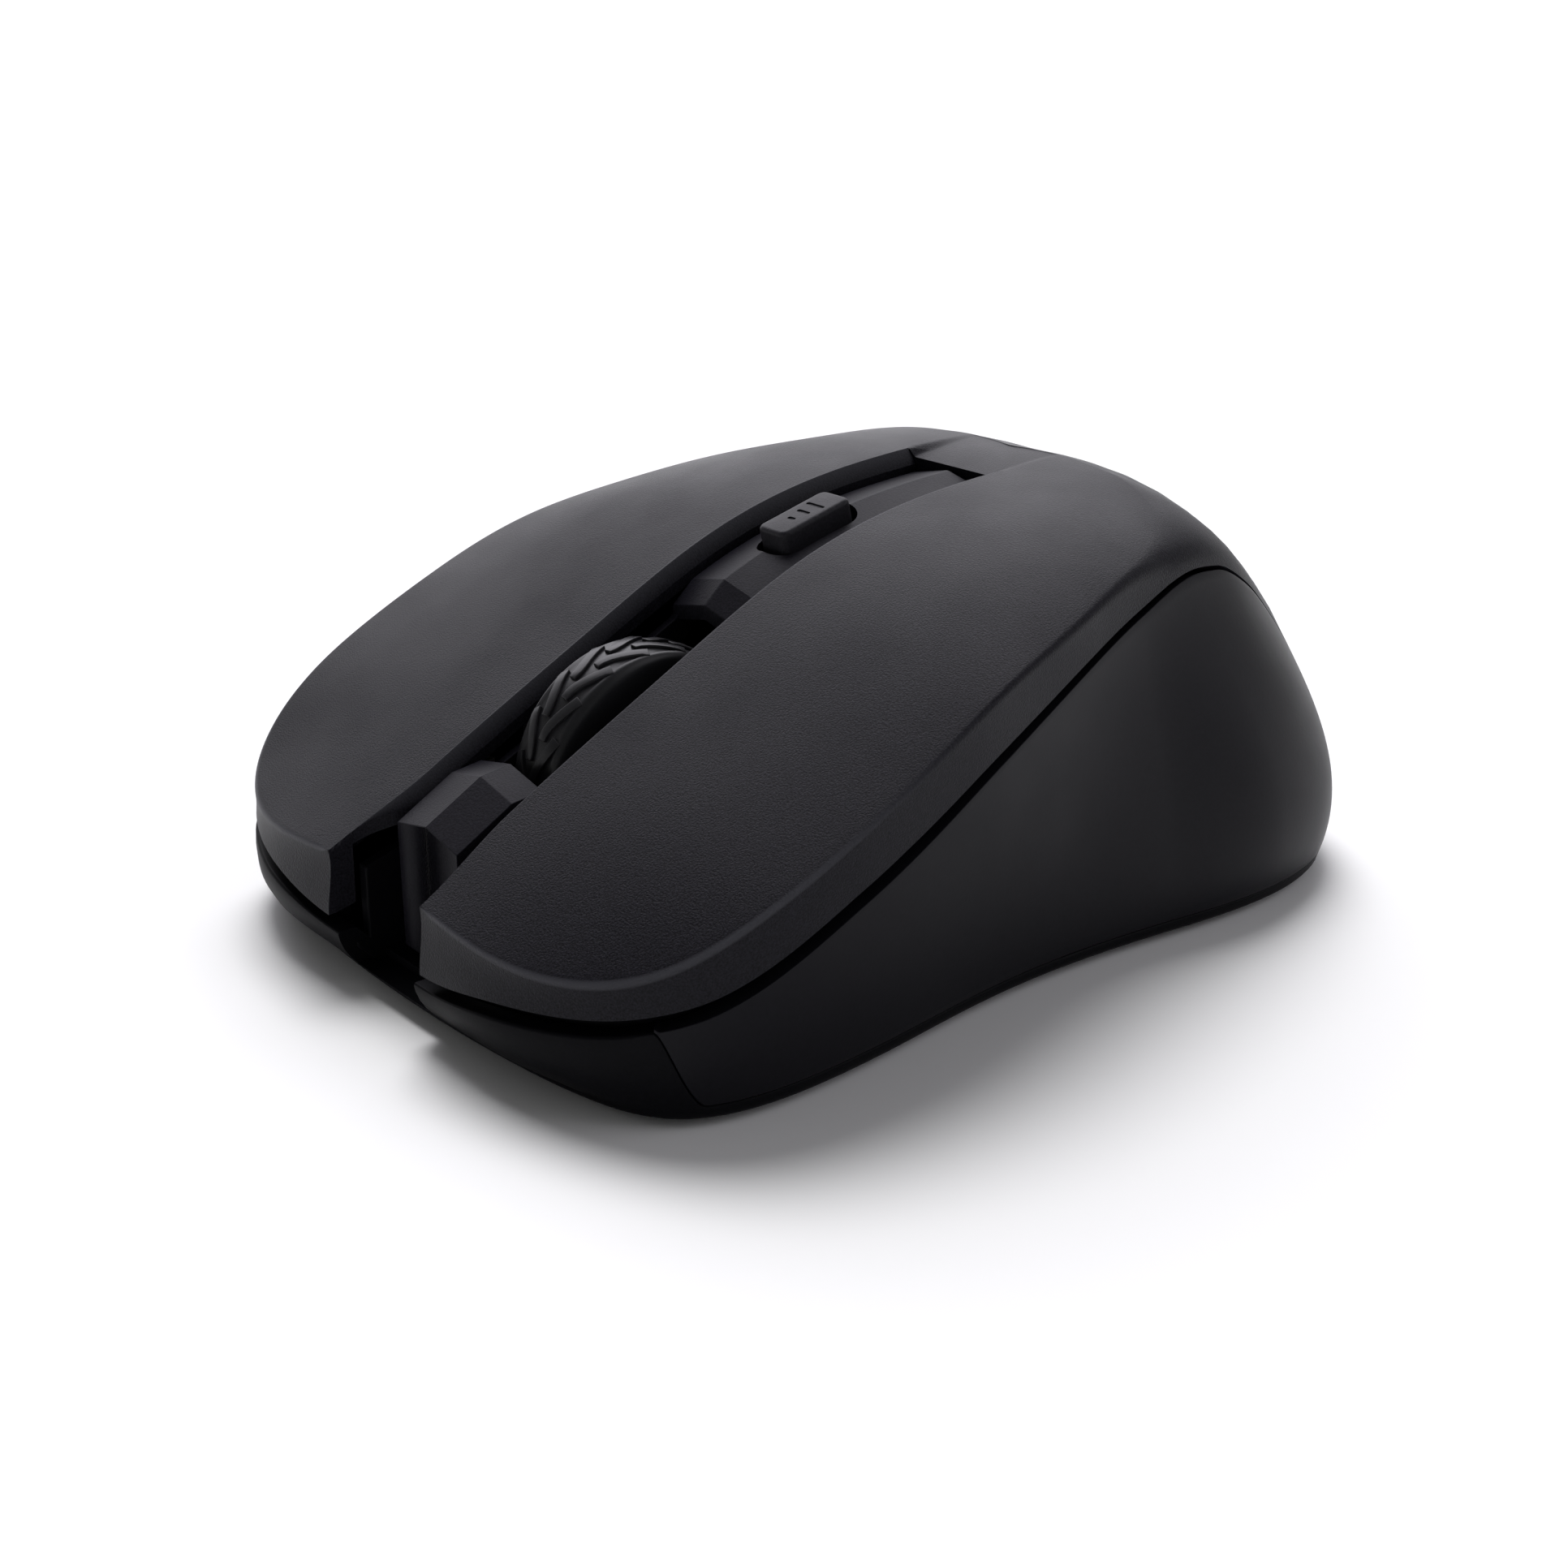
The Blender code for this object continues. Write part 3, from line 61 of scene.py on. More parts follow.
def spline(points):
    """Knots, spans and the equations of a cubic curve through (position, value) points, with its ends left open."""
    knots, values = np.array(points, float).T
    step = np.diff(knots)
    rise = np.diff(values) / step
    system = np.zeros((len(knots), len(knots)))
    right = np.zeros(len(knots))
    for i in range(1, len(step)):
        system[i, i - 1:i + 2] = (step[i - 1], 2 * (step[i - 1] + step[i]), step[i])
        right[i] = 6 * (rise[i] - rise[i - 1])
    return knots, values, step, rise, system, right


def level_curve(points):
    """Smooth curve through points, level where it starts and ends."""
    knots, values, step, rise, system, right = spline(points)
    system[0, :2] = (2 * step[0], step[0])
    right[0] = 6 * rise[0]
    system[-1, -2:] = (step[-1], 2 * step[-1])
    right[-1] = -6 * rise[-1]
    return bent(knots, values, step, np.linalg.solve(system, right))


def free_curve(points):
    """Smooth curve through points, straight where it starts and ends."""
    knots, values, step, rise, system, right = spline(points)
    system[0, 0] = system[-1, -1] = 1
    return bent(knots, values, step, np.linalg.solve(system, right))


def bent(knots, values, step, bend):
    """Cubic curve with a given bend at each knot, as a function."""
    def at(position):
        i = int(np.clip(np.searchsorted(knots, position) - 1, 0, len(step) - 1))
        a = (knots[i + 1] - position) / step[i]
        b = 1 - a
        extra = ((a ** 3 - a) * bend[i] + (b ** 3 - b) * bend[i + 1]) * step[i] ** 2 / 6
        return float(a * values[i] + b * values[i + 1] + extra)
    return at


def steady_curve(points):
    """Curve through points that never overshoots between them."""
    knots, values = np.array(points, float).T
    slope = np.diff(values) / np.diff(knots)
    ends = np.concatenate([slope[:1], np.zeros(len(slope) - 1), slope[-1:]])
    for i in range(1, len(slope)):
        if slope[i - 1] * slope[i] > 0:
            ends[i] = 2 * slope[i - 1] * slope[i] / (slope[i - 1] + slope[i])

    def at(position):
        i = int(np.clip(np.searchsorted(knots, position) - 1, 0, len(slope) - 1))
        span = knots[i + 1] - knots[i]
        t = (position - knots[i]) / span
        first = values[i] * (1 + 2 * t) * (1 - t) ** 2 + ends[i] * span * t * (1 - t) ** 2
        return float(first + values[i + 1] * t * t * (3 - 2 * t) + ends[i + 1] * span * t * t * (t - 1))
    return at


def ease(t):
    t = min(max(t, 0.0), 1.0)
    return t * t * (3 - 2 * t)


def half_angle(angle):
    return abs(angle) if angle <= 180 else 360 - angle


def plan_ring(outline):
    """Closed outline seen from above, as a point for an angle from the front round the left side."""
    radius = level_curve([(math.degrees(math.atan2(x, -y)), math.hypot(x, y)) for x, y in outline])

    def at(angle):
        half = half_angle(angle)
        turn = math.radians(half)
        side = 1 if angle <= 180 else -1
        return Vector((side * math.sin(turn), -math.cos(turn))) * radius(half) * MM
    return at


foot_ring = plan_ring([
    (0, -46.5), (16.5, -45.7), (24.7, -44.4), (32.0, -40.7), (34.8, -29.0), (33.8, -15.8), (32.9, -4.6),
    (33.1, 4.7), (34.1, 14.5), (35.1, 26.0), (32.2, 38.9), (22.0, 46.6), (0, 48.2),
])
crease_ring = plan_ring([
    (0, -48.2), (8.0, -48.4), (17.5, -48.2), (26.4, -45.7), (33.5, -39.9), (36.8, -25.8), (35.3, -9.5),
    (32.4, 2.8), (29.6, 12.0), (27.1, 21.4), (24.0, 30.0), (17.0, 38.0), (0, 42.3),
])
crest_curve = free_curve([
    (-52.0, 11.2), (-48.3, 13.0), (-35.0, 20.1), (-21.3, 27.2), (-7.8, 33.7), (5.8, 37.3), (19.4, 38.5),
    (31.0, 38.3), (45.0, 34.5),
])
sag_curve = free_curve([
    (-52.0, 4.1), (-48.2, 3.45), (-45.7, 2.92), (-40.0, 1.89), (-26.0, 1.13), (-9.5, 1.75), (2.8, 3.0),
    (12.0, 3.8), (21.4, 5.3), (34.0, 7.0), (45.0, 7.0),
])
SAG_REACH = 30 * MM
BULGE_PEAK = 4 / 27
sag_power = steady_curve([(-52, 2.0), (-40, 2.0), (-26, 2.85), (-18, 3.2), (45, 3.2)])
bulge_curve = steady_curve([
    (0, 1.6), (9, 1.7), (20, 2.2), (30, 1.4), (38, 0.3), (46, 0.0), (90, 0.0), (112, 1.2), (128, 3.6),
    (150, 3.7), (180, 2.4),
])
parting_curve = steady_curve([
    (0, 5.4), (9, 5.5), (20, 6.85), (30, 7.8), (40, 9.7), (55, 16.2), (75, 23.4), (95, 28.0), (112, 30.6),
    (128, 32.2), (135, 31.6), (142, 28.5), (148, 20.0), (152, 10.5), (155, 3.0), (157, 2.4), (180, 2.4),
])
FLOOR_BOTTOM = 0.6 * MM
EDGE_TOP = 1.4 * MM
RIM_TOP = 2.0 * MM
FLOOR_TOP = 2.8 * MM
PANEL_WALL = 1.8 * MM
STEP_GAP = 0.8 * MM
RIM_INSET = 0.25 * MM
EDGE_INSET = 1.0 * MM
SEAM_ANGLE = 36.3
SEAM_SLANT = 4.2
SEAM_SWEEP = 0.8
WALL_EDGE = 0.3 * MM
GAP = 0.3 * MM


def crest(y):
    return crest_curve(y / MM) * MM


def top_height(x, y):
    return crest(y) - sag_curve(y / MM) * MM * (abs(x) / SAG_REACH) ** sag_power(y / MM)


def top_point(x, y):
    return Vector((x, y, top_height(x, y)))


def crease(angle):
    return top_point(*crease_ring(angle))


def wall_at(angle):
    """Side wall at an angle, as a point for a height."""
    low, high = foot_ring(angle), crease(angle)
    out = low.normalized() * bulge_curve(half_angle(angle)) * MM / BULGE_PEAK

    def at(z):
        part = (z - EDGE_TOP) / (high.z - EDGE_TOP)
        plan = low.lerp(high.xy, part) + out * part * (1 - part) ** 2
        return Vector((*plan, z))
    return at


def parting(angle):
    return parting_curve(half_angle(angle)) * MM


def bumper_top(angle):
    """Top of the tray's wall: the parting line at the bumper, down to the rim behind the slanted seam."""
    half = half_angle(angle)
    drop = ease((half - SEAM_ANGLE) / SEAM_SLANT) ** SEAM_SWEEP
    return parting(min(half, SEAM_ANGLE)) * (1 - drop) + RIM_TOP * drop


def inset_point(angle, size, z):
    plan = foot_ring(angle)
    return Vector((*(plan - plan.normalized() * size), z))


def tray_section(angle):
    """Section of the tray: rounded bottom edge, outer wall, rounded top edge, then in and down to the floor."""
    top = bumper_top(angle)
    wall = wall_at(angle)
    behind = ease((half_angle(angle) - SEAM_ANGLE + 2) / 2.5)
    step = PANEL_WALL + STEP_GAP * behind
    along = (foot_ring(angle + 1) - foot_ring(angle - 1)).normalized()
    inward = Vector((-along.y, along.x, 0))
    soft = min(WALL_EDGE, (top - EDGE_TOP) * 0.4)
    section = [inset_point(angle, EDGE_INSET + 0.5 * MM, FLOOR_BOTTOM)]
    for turn in (0, 22, 45, 68, 90):
        turn = math.radians(turn)
        rise = (EDGE_TOP - FLOOR_BOTTOM) * (1 - math.cos(turn))
        section.append(inset_point(angle, EDGE_INSET * (1 - math.sin(turn)), FLOOR_BOTTOM + rise))
    for t in (0.12, 0.35, 0.6, 0.85, 1.0):
        section.append(wall(EDGE_TOP + (top - soft - EDGE_TOP) * t))
    for turn in (30, 60, 90):
        turn = math.radians(turn)
        point = wall(top - soft + soft * math.sin(turn))
        section.append(point + inward * soft * (1 - math.cos(turn)))
    section.append(wall(top) + inward * step)
    section.append(inset_point(angle, step + RIM_INSET, FLOOR_TOP))
    return section


def sheet(columns, highlight_weights=None):
    """Sheet through columns of points, with its faces turned away from the middle of the mouse, and optional
    weights per point for the painted highlight.
    """
    work = bmesh.new()
    painted_highlight = work.verts.layers.float.new("painted_highlight")
    tall, wide = len(columns), len(columns[0])
    made = bmesh.ops.create_grid(work, x_segments=wide - 1, y_segments=tall - 1, size=1)["verts"]
    for i, vert in enumerate(made):
        vert.co = columns[i // wide][i % wide]
        if highlight_weights:
            vert[painted_highlight] = highlight_weights[i // wide][i % wide]
    bmesh.ops.remove_doubles(work, verts=work.verts[:], dist=0.002 * MM)
    bmesh.ops.dissolve_degenerate(work, dist=0.001 * MM, edges=work.edges[:])
    work.normal_update()
    middle = Vector((0, 0, 9 * MM))
    if sum(f.normal.dot(f.calc_center_median() - middle) * f.calc_area() for f in work.faces) < 0:
        bmesh.ops.reverse_faces(work, faces=work.faces[:])
    return work


def piece(name, work, material, crisp=30):
    """Object made from a bmesh, smooth where its faces meet at less than the crisp angle."""
    shape = bpy.data.meshes.new(name)
    work.to_mesh(shape)
    work.free()
    shape.materials.append(material)
    made = bpy.data.objects.new(name, shape)
    bpy.context.scene.collection.objects.link(made)
    shade(made, crisp)
    return made


def shade(item, crisp):
    item.data.shade_smooth()
    item.data.set_sharp_from_angle(angle=math.radians(crisp))


def settle(item, crisp=30):
    """Applies an object's modifiers to its mesh."""
    graph = bpy.context.evaluated_depsgraph_get()
    done = bpy.data.meshes.new_from_object(item.evaluated_get(graph))
    item.modifiers.clear()
    item.data = done
    shade(item, crisp)


def carve(item, cutters, crisp=30):
    """Cuts shapes out of an object, then removes them."""
    for cutter in cutters:
        cut = item.modifiers.new("cut", "BOOLEAN")
        cut.solver = "EXACT"
        cut.object = cutter
    settle(item, crisp)
    for cutter in cutters:
        bpy.data.objects.remove(cutter, do_unlink=True)


def walled(item, size, soft=0.0, crisp=30):
    """Gives a sheet its wall inwards, and softens the wall's edges."""
    wall = item.modifiers.new("wall", "SOLIDIFY")
    wall.thickness = size
    wall.offset = -1
    wall.use_even_offset = True
    wall.use_quality_normals = True
    if soft:
        round_off = item.modifiers.new("soft", "BEVEL")
        round_off.width = soft
        round_off.segments = 3
        round_off.limit_method = "ANGLE"
        round_off.angle_limit = math.radians(50)
        round_off.use_clamp_overlap = False
    settle(item, crisp)


def fit(item, body, *nodes, slot):
    """Fixes a piece to its body, in place of its CAD nodes."""
    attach(item, body)
    if nodes:
        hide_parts(*nodes)


# Gains on the base colour for the painted highlight along lit edges.
HIGHLIGHT_TONE = (7, 7, 8)


def moulded(name, colour, roughness, grain, relief, mottle=0.15, gloss=0.5):
    """Moulded plastic: a fine spark-eroded grain, uneven in tone and shine, with a painted highlight: a lighter
    base colour where a mesh carries highlight weights.
    """
    made = bpy.data.materials.new(name)
    made.use_nodes = True
    nodes, links = made.node_tree.nodes, made.node_tree.links
    shader = nodes["Principled BSDF"]
    shader.inputs["Specular IOR Level"].default_value = gloss
    place = nodes.new("ShaderNodeTexCoord")
    speck = nodes.new("ShaderNodeTexNoise")
    speck.inputs["Scale"].default_value = 1 / grain
    speck.inputs["Detail"].default_value = 2.0
    links.new(place.outputs["Object"], speck.inputs["Vector"])
    tone = nodes.new("ShaderNodeValToRGB")
    tone.color_ramp.elements[0].position = 0.3
    tone.color_ramp.elements[0].color = (*(c * (1 - mottle) for c in colour), 1)
    tone.color_ramp.elements[1].position = 0.7
    tone.color_ramp.elements[1].color = (*(c * (1 + mottle) for c in colour), 1)
    links.new(speck.outputs["Fac"], tone.inputs["Fac"])
    # Painted highlight: the mesh's per-vertex weight mixes the base colour towards a lighter tone, standing in for
    # light caught on an edge.
    edges = nodes.new("ShaderNodeAttribute")
    edges.attribute_name = "painted_highlight"
    highlighted = nodes.new("ShaderNodeMix")
    highlighted.data_type = "RGBA"
    links.new(edges.outputs["Fac"], highlighted.inputs["Factor"])
    links.new(tone.outputs["Color"], highlighted.inputs["A"])
    highlighted.inputs["B"].default_value = (*(colour[0] * gain for gain in HIGHLIGHT_TONE), 1)
    links.new(highlighted.outputs["Result"], shader.inputs["Base Color"])
    raised = nodes.new("ShaderNodeBump")
    raised.inputs["Strength"].default_value = 1.0
    raised.inputs["Distance"].default_value = relief
    links.new(speck.outputs["Fac"], raised.inputs["Height"])
    links.new(raised.outputs["Normal"], shader.inputs["Normal"])
    handled = nodes.new("ShaderNodeTexNoise")
    handled.inputs["Scale"].default_value = 90.0
    handled.inputs["Detail"].default_value = 4.0
    links.new(place.outputs["Object"], handled.inputs["Vector"])
    shine = nodes.new("ShaderNodeMapRange")
    shine.inputs["From Min"].default_value = 0.3
    shine.inputs["From Max"].default_value = 0.7
    shine.inputs["To Min"].default_value = roughness - 0.05
    shine.inputs["To Max"].default_value = roughness + 0.05
    links.new(handled.outputs["Fac"], shine.inputs["Value"])
    links.new(shine.outputs["Result"], shader.inputs["Roughness"])
    return made


def soften(work, edges, size, rounds=2):
    """Rounds off edges of a bmesh."""
    bmesh.ops.bevel(
        work, geom=edges, offset=size, offset_type="OFFSET", affect="EDGES", segments=rounds, profile=0.5,
        material=-1,
    )


def block(low, high, soft=0.0, rounds=2):
    """Box between two corners with softened edges, as a bmesh."""
    low, high = Vector(low), Vector(high)
    work = bmesh.new()
    place = Matrix.Translation((low + high) / 2) @ Matrix.Diagonal((*(high - low), 1))
    bmesh.ops.create_cube(work, size=1, matrix=place)
    if soft:
        soften(work, work.edges[:], soft, rounds)
    return work


def plate(points, direction):
    """Flat outline pushed along a direction into a solid, as a bmesh."""
    work = bmesh.new()
    face = work.faces.new([work.verts.new(p) for p in points])
    pushed = bmesh.ops.extrude_face_region(work, geom=[face])["geom"]
    bmesh.ops.translate(work, verts=[g for g in pushed if isinstance(g, bmesh.types.BMVert)], vec=direction)
    bmesh.ops.recalc_face_normals(work, faces=work.faces[:])
    return work


base_plastic = moulded("base_plastic", (0.003, 0.003, 0.004), 0.45, 0.3 * MM, 0.005 * MM, gloss=0.05)
front = list(np.linspace(0, SEAM_ANGLE, 42)) + list(np.linspace(SEAM_ANGLE, SEAM_ANGLE + SEAM_SLANT, 15))[1:]
half_round = front + list(np.linspace(SEAM_ANGLE + SEAM_SLANT, 180, 110))[1:]
around = half_round + [360 - angle for angle in reversed(half_round[:-1])]
tray = sheet([tray_section(angle) for angle in around])
bmesh.ops.holes_fill(tray, edges=tray.edges[:], sides=0)
bmesh.ops.recalc_face_normals(tray, faces=tray.faces[:])
base_tray = piece("base_tray", tray, base_plastic)

NOTCH_HALF = 6.3 * MM
NOSE_FRONT = -43.0 * MM
NOTCH_BACK = NOSE_FRONT - 1.3 * MM
BAY = [(29, 9.8), (29, 26.5), (18, 39.4), (-18, 39.4), (-29, 26.5), (-29, 9.8)]
DOOR_INSET = 0.6 * MM
DOOR_LEDGE = 2.0 * MM
DOOR_TOP = 1.6 * MM


def bay_outline(grow, z):
    """Outline of the battery bay with every side moved out."""
    corners = [Vector(corner) * MM for corner in BAY]
    points = []
    for before, corner, after in zip(corners[-1:] + corners[:-1], corners, corners[1:] + corners[:1]):
        first, second = (corner - before).normalized(), (after - corner).normalized()
        first, second = Vector((first.y, -first.x)), Vector((second.y, -second.x))
        points.append(Vector((*(corner + (first + second) * grow / (1 + first.dot(second))), z)))
    return points


FOOT_POCKET = 0.6 * MM
FEET = (("front_foot", -39.5 * MM, 13.0 * MM, 2.6 * MM), ("rear_foot", 43.7 * MM, 12.0 * MM, 2.1 * MM))
SENSOR_Y = 1.0 * MM
WINDOW_HALF = (5 * MM, 4 * MM)
POWER_X = -17.0 * MM
POWER_Y = -14.0 * MM
KNOB = (3.0 * MM, 3.2 * MM)
POWER_TRAVEL = 3.0 * MM


def cutter(work):
    return piece("cutter", work, base_plastic)


cuts = [
    block((-NOTCH_HALF, -60 * MM, RIM_TOP), (NOTCH_HALF, NOTCH_BACK, 20 * MM)),
    plate(bay_outline(GAP - DOOR_INSET, -MM), (0, 0, DOOR_TOP + GAP + MM)),
    plate(bay_outline(-DOOR_INSET - DOOR_LEDGE, -MM), (0, 0, FLOOR_TOP + 2 * MM)),
    block(
        (-WINDOW_HALF[0], SENSOR_Y - WINDOW_HALF[1], -MM),
        (WINDOW_HALF[0], SENSOR_Y + WINDOW_HALF[1], FLOOR_TOP + MM),
    ),
    block(
        (POWER_X - KNOB[0] / 2 - GAP, POWER_Y - KNOB[1] / 2 - GAP, -MM),
        (POWER_X + KNOB[0] / 2 + POWER_TRAVEL + GAP, POWER_Y + KNOB[1] / 2 + GAP, FLOOR_TOP + MM),
    ),
]
for name, y, half, deep in FEET:
    cuts.append(block(
        (-half - GAP, y - deep - GAP, -MM), (half + GAP, y + deep + GAP, FLOOR_BOTTOM + FOOT_POCKET),
    ))
carve(base_tray, [cutter(work) for work in cuts])
fit(base_tray, "chassis", "base_shell", slot="base")

# Cheeks of the base
# Two upright plates of the same plastic that close the bumper's notch beside the nose.
# Moulded with the tray; each is a bevelled outline.
CHEEK = 1.2 * MM
for name, side in (("left_cheek", 1), ("right_cheek", -1)):
    x = side * (NOTCH_HALF - 0.1 * MM)
    low, back = parting(0) - 1.3 * MM, NOSE_FRONT + 2 * MM
    cheek = plate([
        (x, -45.0 * MM, FLOOR_BOTTOM + MM), (x, -47.0 * MM, 3.6 * MM), (x, -47.0 * MM, low),
        (x, -45.7 * MM, low), (x, -45.6 * MM, 10.8 * MM), (x, back, 12.2 * MM), (x, back, FLOOR_BOTTOM + MM),
    ], (side * CHEEK, 0, 0))
    soften(cheek, cheek.edges[:], 0.15 * MM)
    fit(piece(name, cheek, base_plastic, 5), "chassis", slot="base")

# Battery bay
# A six-sided wall that stands up from the floor round the cell and the receiver.
# Moulded with the tray; the wall is an open outline with its thickness outwards.
BAY_FOOT, BAY_HEIGHT, BAY_THICK = FLOOR_BOTTOM + 1.7 * MM, 6.9 * MM, 1.2 * MM
bay = plate(bay_outline(0, BAY_FOOT), (0, 0, BAY_HEIGHT))
bmesh.ops.delete(bay, geom=[f for f in bay.faces if abs(f.normal.z) > 0.5], context="FACES_ONLY")
bmesh.ops.reverse_faces(bay, faces=bay.faces[:])
bay_wall = piece("bay_wall", bay, base_plastic)
walled(bay_wall, BAY_THICK, 0.2 * MM)
fit(bay_wall, "chassis", slot="base")

# Side panels
# Smooth satin grip panels that wrap each flank between the base's rim and the button's skirt.
# Each is one curved sheet with a moulded wall; a hairline parts it from the bumper.
panel_plastic = moulded(
    "panel_plastic", (0.005, 0.0048, 0.0068), 0.38, 0.35 * MM, 0.004 * MM, mottle=0.08, gloss=0.1,
)
PANEL_END = 155.4
SEAM_HAIR = 0.07
SEAM_END = SEAM_ANGLE + SEAM_SLANT + 0.4
panel_angles = list(np.linspace(SEAM_ANGLE + SEAM_HAIR, SEAM_END, 18))
panel_angles += list(np.linspace(SEAM_END, PANEL_END, 150))[1:]


def panel_column(angle):
    low = max(RIM_TOP, bumper_top(angle - SEAM_HAIR)) + 0.06 * MM
    high = max(parting(angle) - 0.05 * MM, low + 0.25 * MM)
    wall = wall_at(angle)
    return [wall(low + (high - low) * share) for share in np.linspace(0, 1, 34)]


def flipped(columns, side):
    """Columns of points as they are for the left side, 1, or mirrored for the right, -1."""
    return [[Vector((side * p.x, p.y, p.z)) for p in column] for column in columns]


panel_columns = [panel_column(angle) for angle in panel_angles]
for name, side in (("left_panel", 1), ("right_panel", -1)):
    panel = piece(name, sheet(flipped(panel_columns, side)), panel_plastic)
    walled(panel, PANEL_WALL, 0.08 * MM)
    fit(panel, "chassis", name.replace("panel", "side_panel"), slot="panel")

# Top cover
# One charcoal skin with a fine moulded grain: the palm, and two paddles that flex at the back of the slot.
# The paddles share their last column of points with the palm, so that no seam shows between them.
cover_plastic = moulded(
    "cover_plastic", (0.008, 0.0077, 0.0105), 0.4, 0.16 * MM, 0.045 * MM, mottle=0.6, gloss=0.09,
)
HINGE_Y = 18.3 * MM
CHANNEL_HALF = 6.4 * MM
CORNER_EXTRA = 1.1 * MM
CORNER_ANGLE = math.degrees(math.atan2(CHANNEL_HALF + CORNER_EXTRA, 48.4 * MM))
CORNER_Y = crease(CORNER_ANGLE).y
RETURN_DEPTH = 2.2 * MM
CHAMFER = (1.2 * MM, 1.4 * MM)
LIP = 1.2 * MM
COVER_WALL = 1.4 * MM
TROUGH_DROP = 0.75 * MM
TROUGH_LENGTH = 12 * MM
PALM_POLE = 22 * MM
edge_radius = steady_curve([
    (0, 0.5), (60, 0.55), (95, 0.7), (112, 1.0), (122, 1.9), (131, 4.2), (140, 8.8), (150, 14.0), (165, 16.0),
    (180, 16.0),
])
skirt_gap = ([0, 35, 60, 95, 125, 140, 180], [1.2, 1.3, 1.5, 0.9, 0.45, 0.3, 0.3])


def skirt_low(angle):
    return parting(angle) + float(np.interp(half_angle(angle), *skirt_gap)) * MM


def crease_angle(y):
    """Angle where the left crease passes a given Y."""
    low, high = 60.0, 175.0
    for _ in range(50):
        middle = (low + high) / 2
        low, high = (middle, high) if crease_ring(middle).y < y else (low, middle)
    return low


HINGE_ANGLE = crease_angle(HINGE_Y)
TOP_ALONG = [0, 0.008] + list(np.linspace(0.035, 1, 36))


def rolled_edge(angle, start, radius):
    """From the top's edge over the rounded crease and down the wall to the skirt's edge."""
    out, low, wall = crease(angle), skirt_low(angle), wall_at(angle)
    inward = (start - out.xy).normalized() if radius else Vector((0, 0))
    flat = top_point(*(out.xy + inward * radius))
    foot = wall(max(out.z - radius, low + 0.3 * MM))
    points = [flat * (1 - t) ** 2 + out * 2 * t * (1 - t) + foot * t * t for t in np.linspace(0, 1, 10)]
    points += [wall(foot.z + (low - foot.z) * t) for t in np.linspace(0, 1, 16)[1:]]
    return flat, points


def crease_highlight(angle):
    """Painted highlight down the rounded crease, none on the wall under it: full at the front, fading out between
    40 and 75 degrees round the side.
    """
    most = ease((75 - angle) / 35)
    return [most * math.sin(math.pi * t) for t in np.linspace(0, 1, 10)] + [0] * 15


def button_column(share, angle):
    """Column of a paddle from its lip in the channel, over the chamfer and the top, to its skirt."""
    y = CORNER_Y + (HINGE_Y - CORNER_Y) * share
    radius = edge_radius(angle) * MM * ease(share / 0.02)
    start = crease(angle).xy
    if share > 0:
        start = Vector((CHANNEL_HALF + CORNER_EXTRA * (1 - ease((y - CORNER_Y) / (10 * MM))), y))
    flat, edge = rolled_edge(angle, start, radius)
    narrow = ease((y - CORNER_Y - RETURN_DEPTH) / (7 * MM))
    high = top_point(*start)
    low = high - Vector((CHAMFER[0], 0, CHAMFER[1])) * narrow
    lip = low - Vector((0, 0, LIP))
    if y <= CORNER_Y + RETURN_DEPTH:
        lip.z = skirt_low(CORNER_ANGLE) + 0.25 * (y - CORNER_Y)
    column = [lip.lerp(low, t) for t in np.linspace(0, 1, 16)]
    if share == 0:
        column = edge[:-17:-1]
    column += [low.lerp(high, 0.1), low.lerp(high, 0.92), high]
    for along in TOP_ALONG[1:-1]:
        column.append(top_point(*start.lerp(flat.xy, along)))
    # Painted highlight weights: a lighter line along the top edge of the channel chamfer and down the rounded
    # crease.
    highlight_weights = [0] * 17 + [0.5, 0.7] + [0] * (len(TOP_ALONG) - 2) + crease_highlight(angle)
    return column + edge, highlight_weights


def spread(shares):
    """Angles at shares of the crease's length from the front corner to the hinge."""
    fine = np.linspace(CORNER_ANGLE, HINGE_ANGLE, 600)
    steps = [(crease_ring(b) - crease_ring(a)).length for a, b in zip(fine, fine[1:])]
    length = np.concatenate([[0], np.cumsum(steps)])
    return [float(np.interp(share * length[-1], length, fine)) for share in shares]


def trough(x, y):
    """Hollow that carries the channel on into the palm and dies out."""
    fade = 1 - min(max((y - HINGE_Y) / TROUGH_LENGTH, 0), 1)
    return TROUGH_DROP * fade * fade * (1 - ease((abs(x) - CHANNEL_HALF + CHAMFER[0]) / CHAMFER[0]))


def palm_column(angle, y):
    """Column of the palm from its middle line to its skirt."""
    flat, edge = rolled_edge(angle, Vector((0, y)), edge_radius(angle) * MM)
    column = []
    for along in PALM_ALONG:
        plan = Vector((0, y)).lerp(flat.xy, along)
        column.append(top_point(*plan) - Vector((0, 0, trough(*plan))))
    return column[:-1] + edge


button_shares = [0, 0.004, 0.008, 0.012, 0.018, 0.025, RETURN_DEPTH / (HINGE_Y - CORNER_Y)]
button_shares += list(np.linspace(0.0345, 1, 150))
button_columns = [button_column(share, angle) for share, angle in zip(button_shares, spread(button_shares))]
hinge_flat = rolled_edge(HINGE_ANGLE, Vector((0, HINGE_Y)), edge_radius(HINGE_ANGLE) * MM)[0]
middle_part = CHANNEL_HALF / hinge_flat.x
PALM_ALONG = list(np.linspace(0, middle_part * 0.75, 8)) + list(np.linspace(middle_part * 0.8, middle_part, 8))
PALM_ALONG += [middle_part + (1 - middle_part) * along for along in TOP_ALONG[1:]]
palm_angles = list(np.linspace(HINGE_ANGLE, 180, 110))


def palm_start(angle):
    return HINGE_Y + (PALM_POLE - HINGE_Y) * (angle - HINGE_ANGLE) / (180 - HINGE_ANGLE)


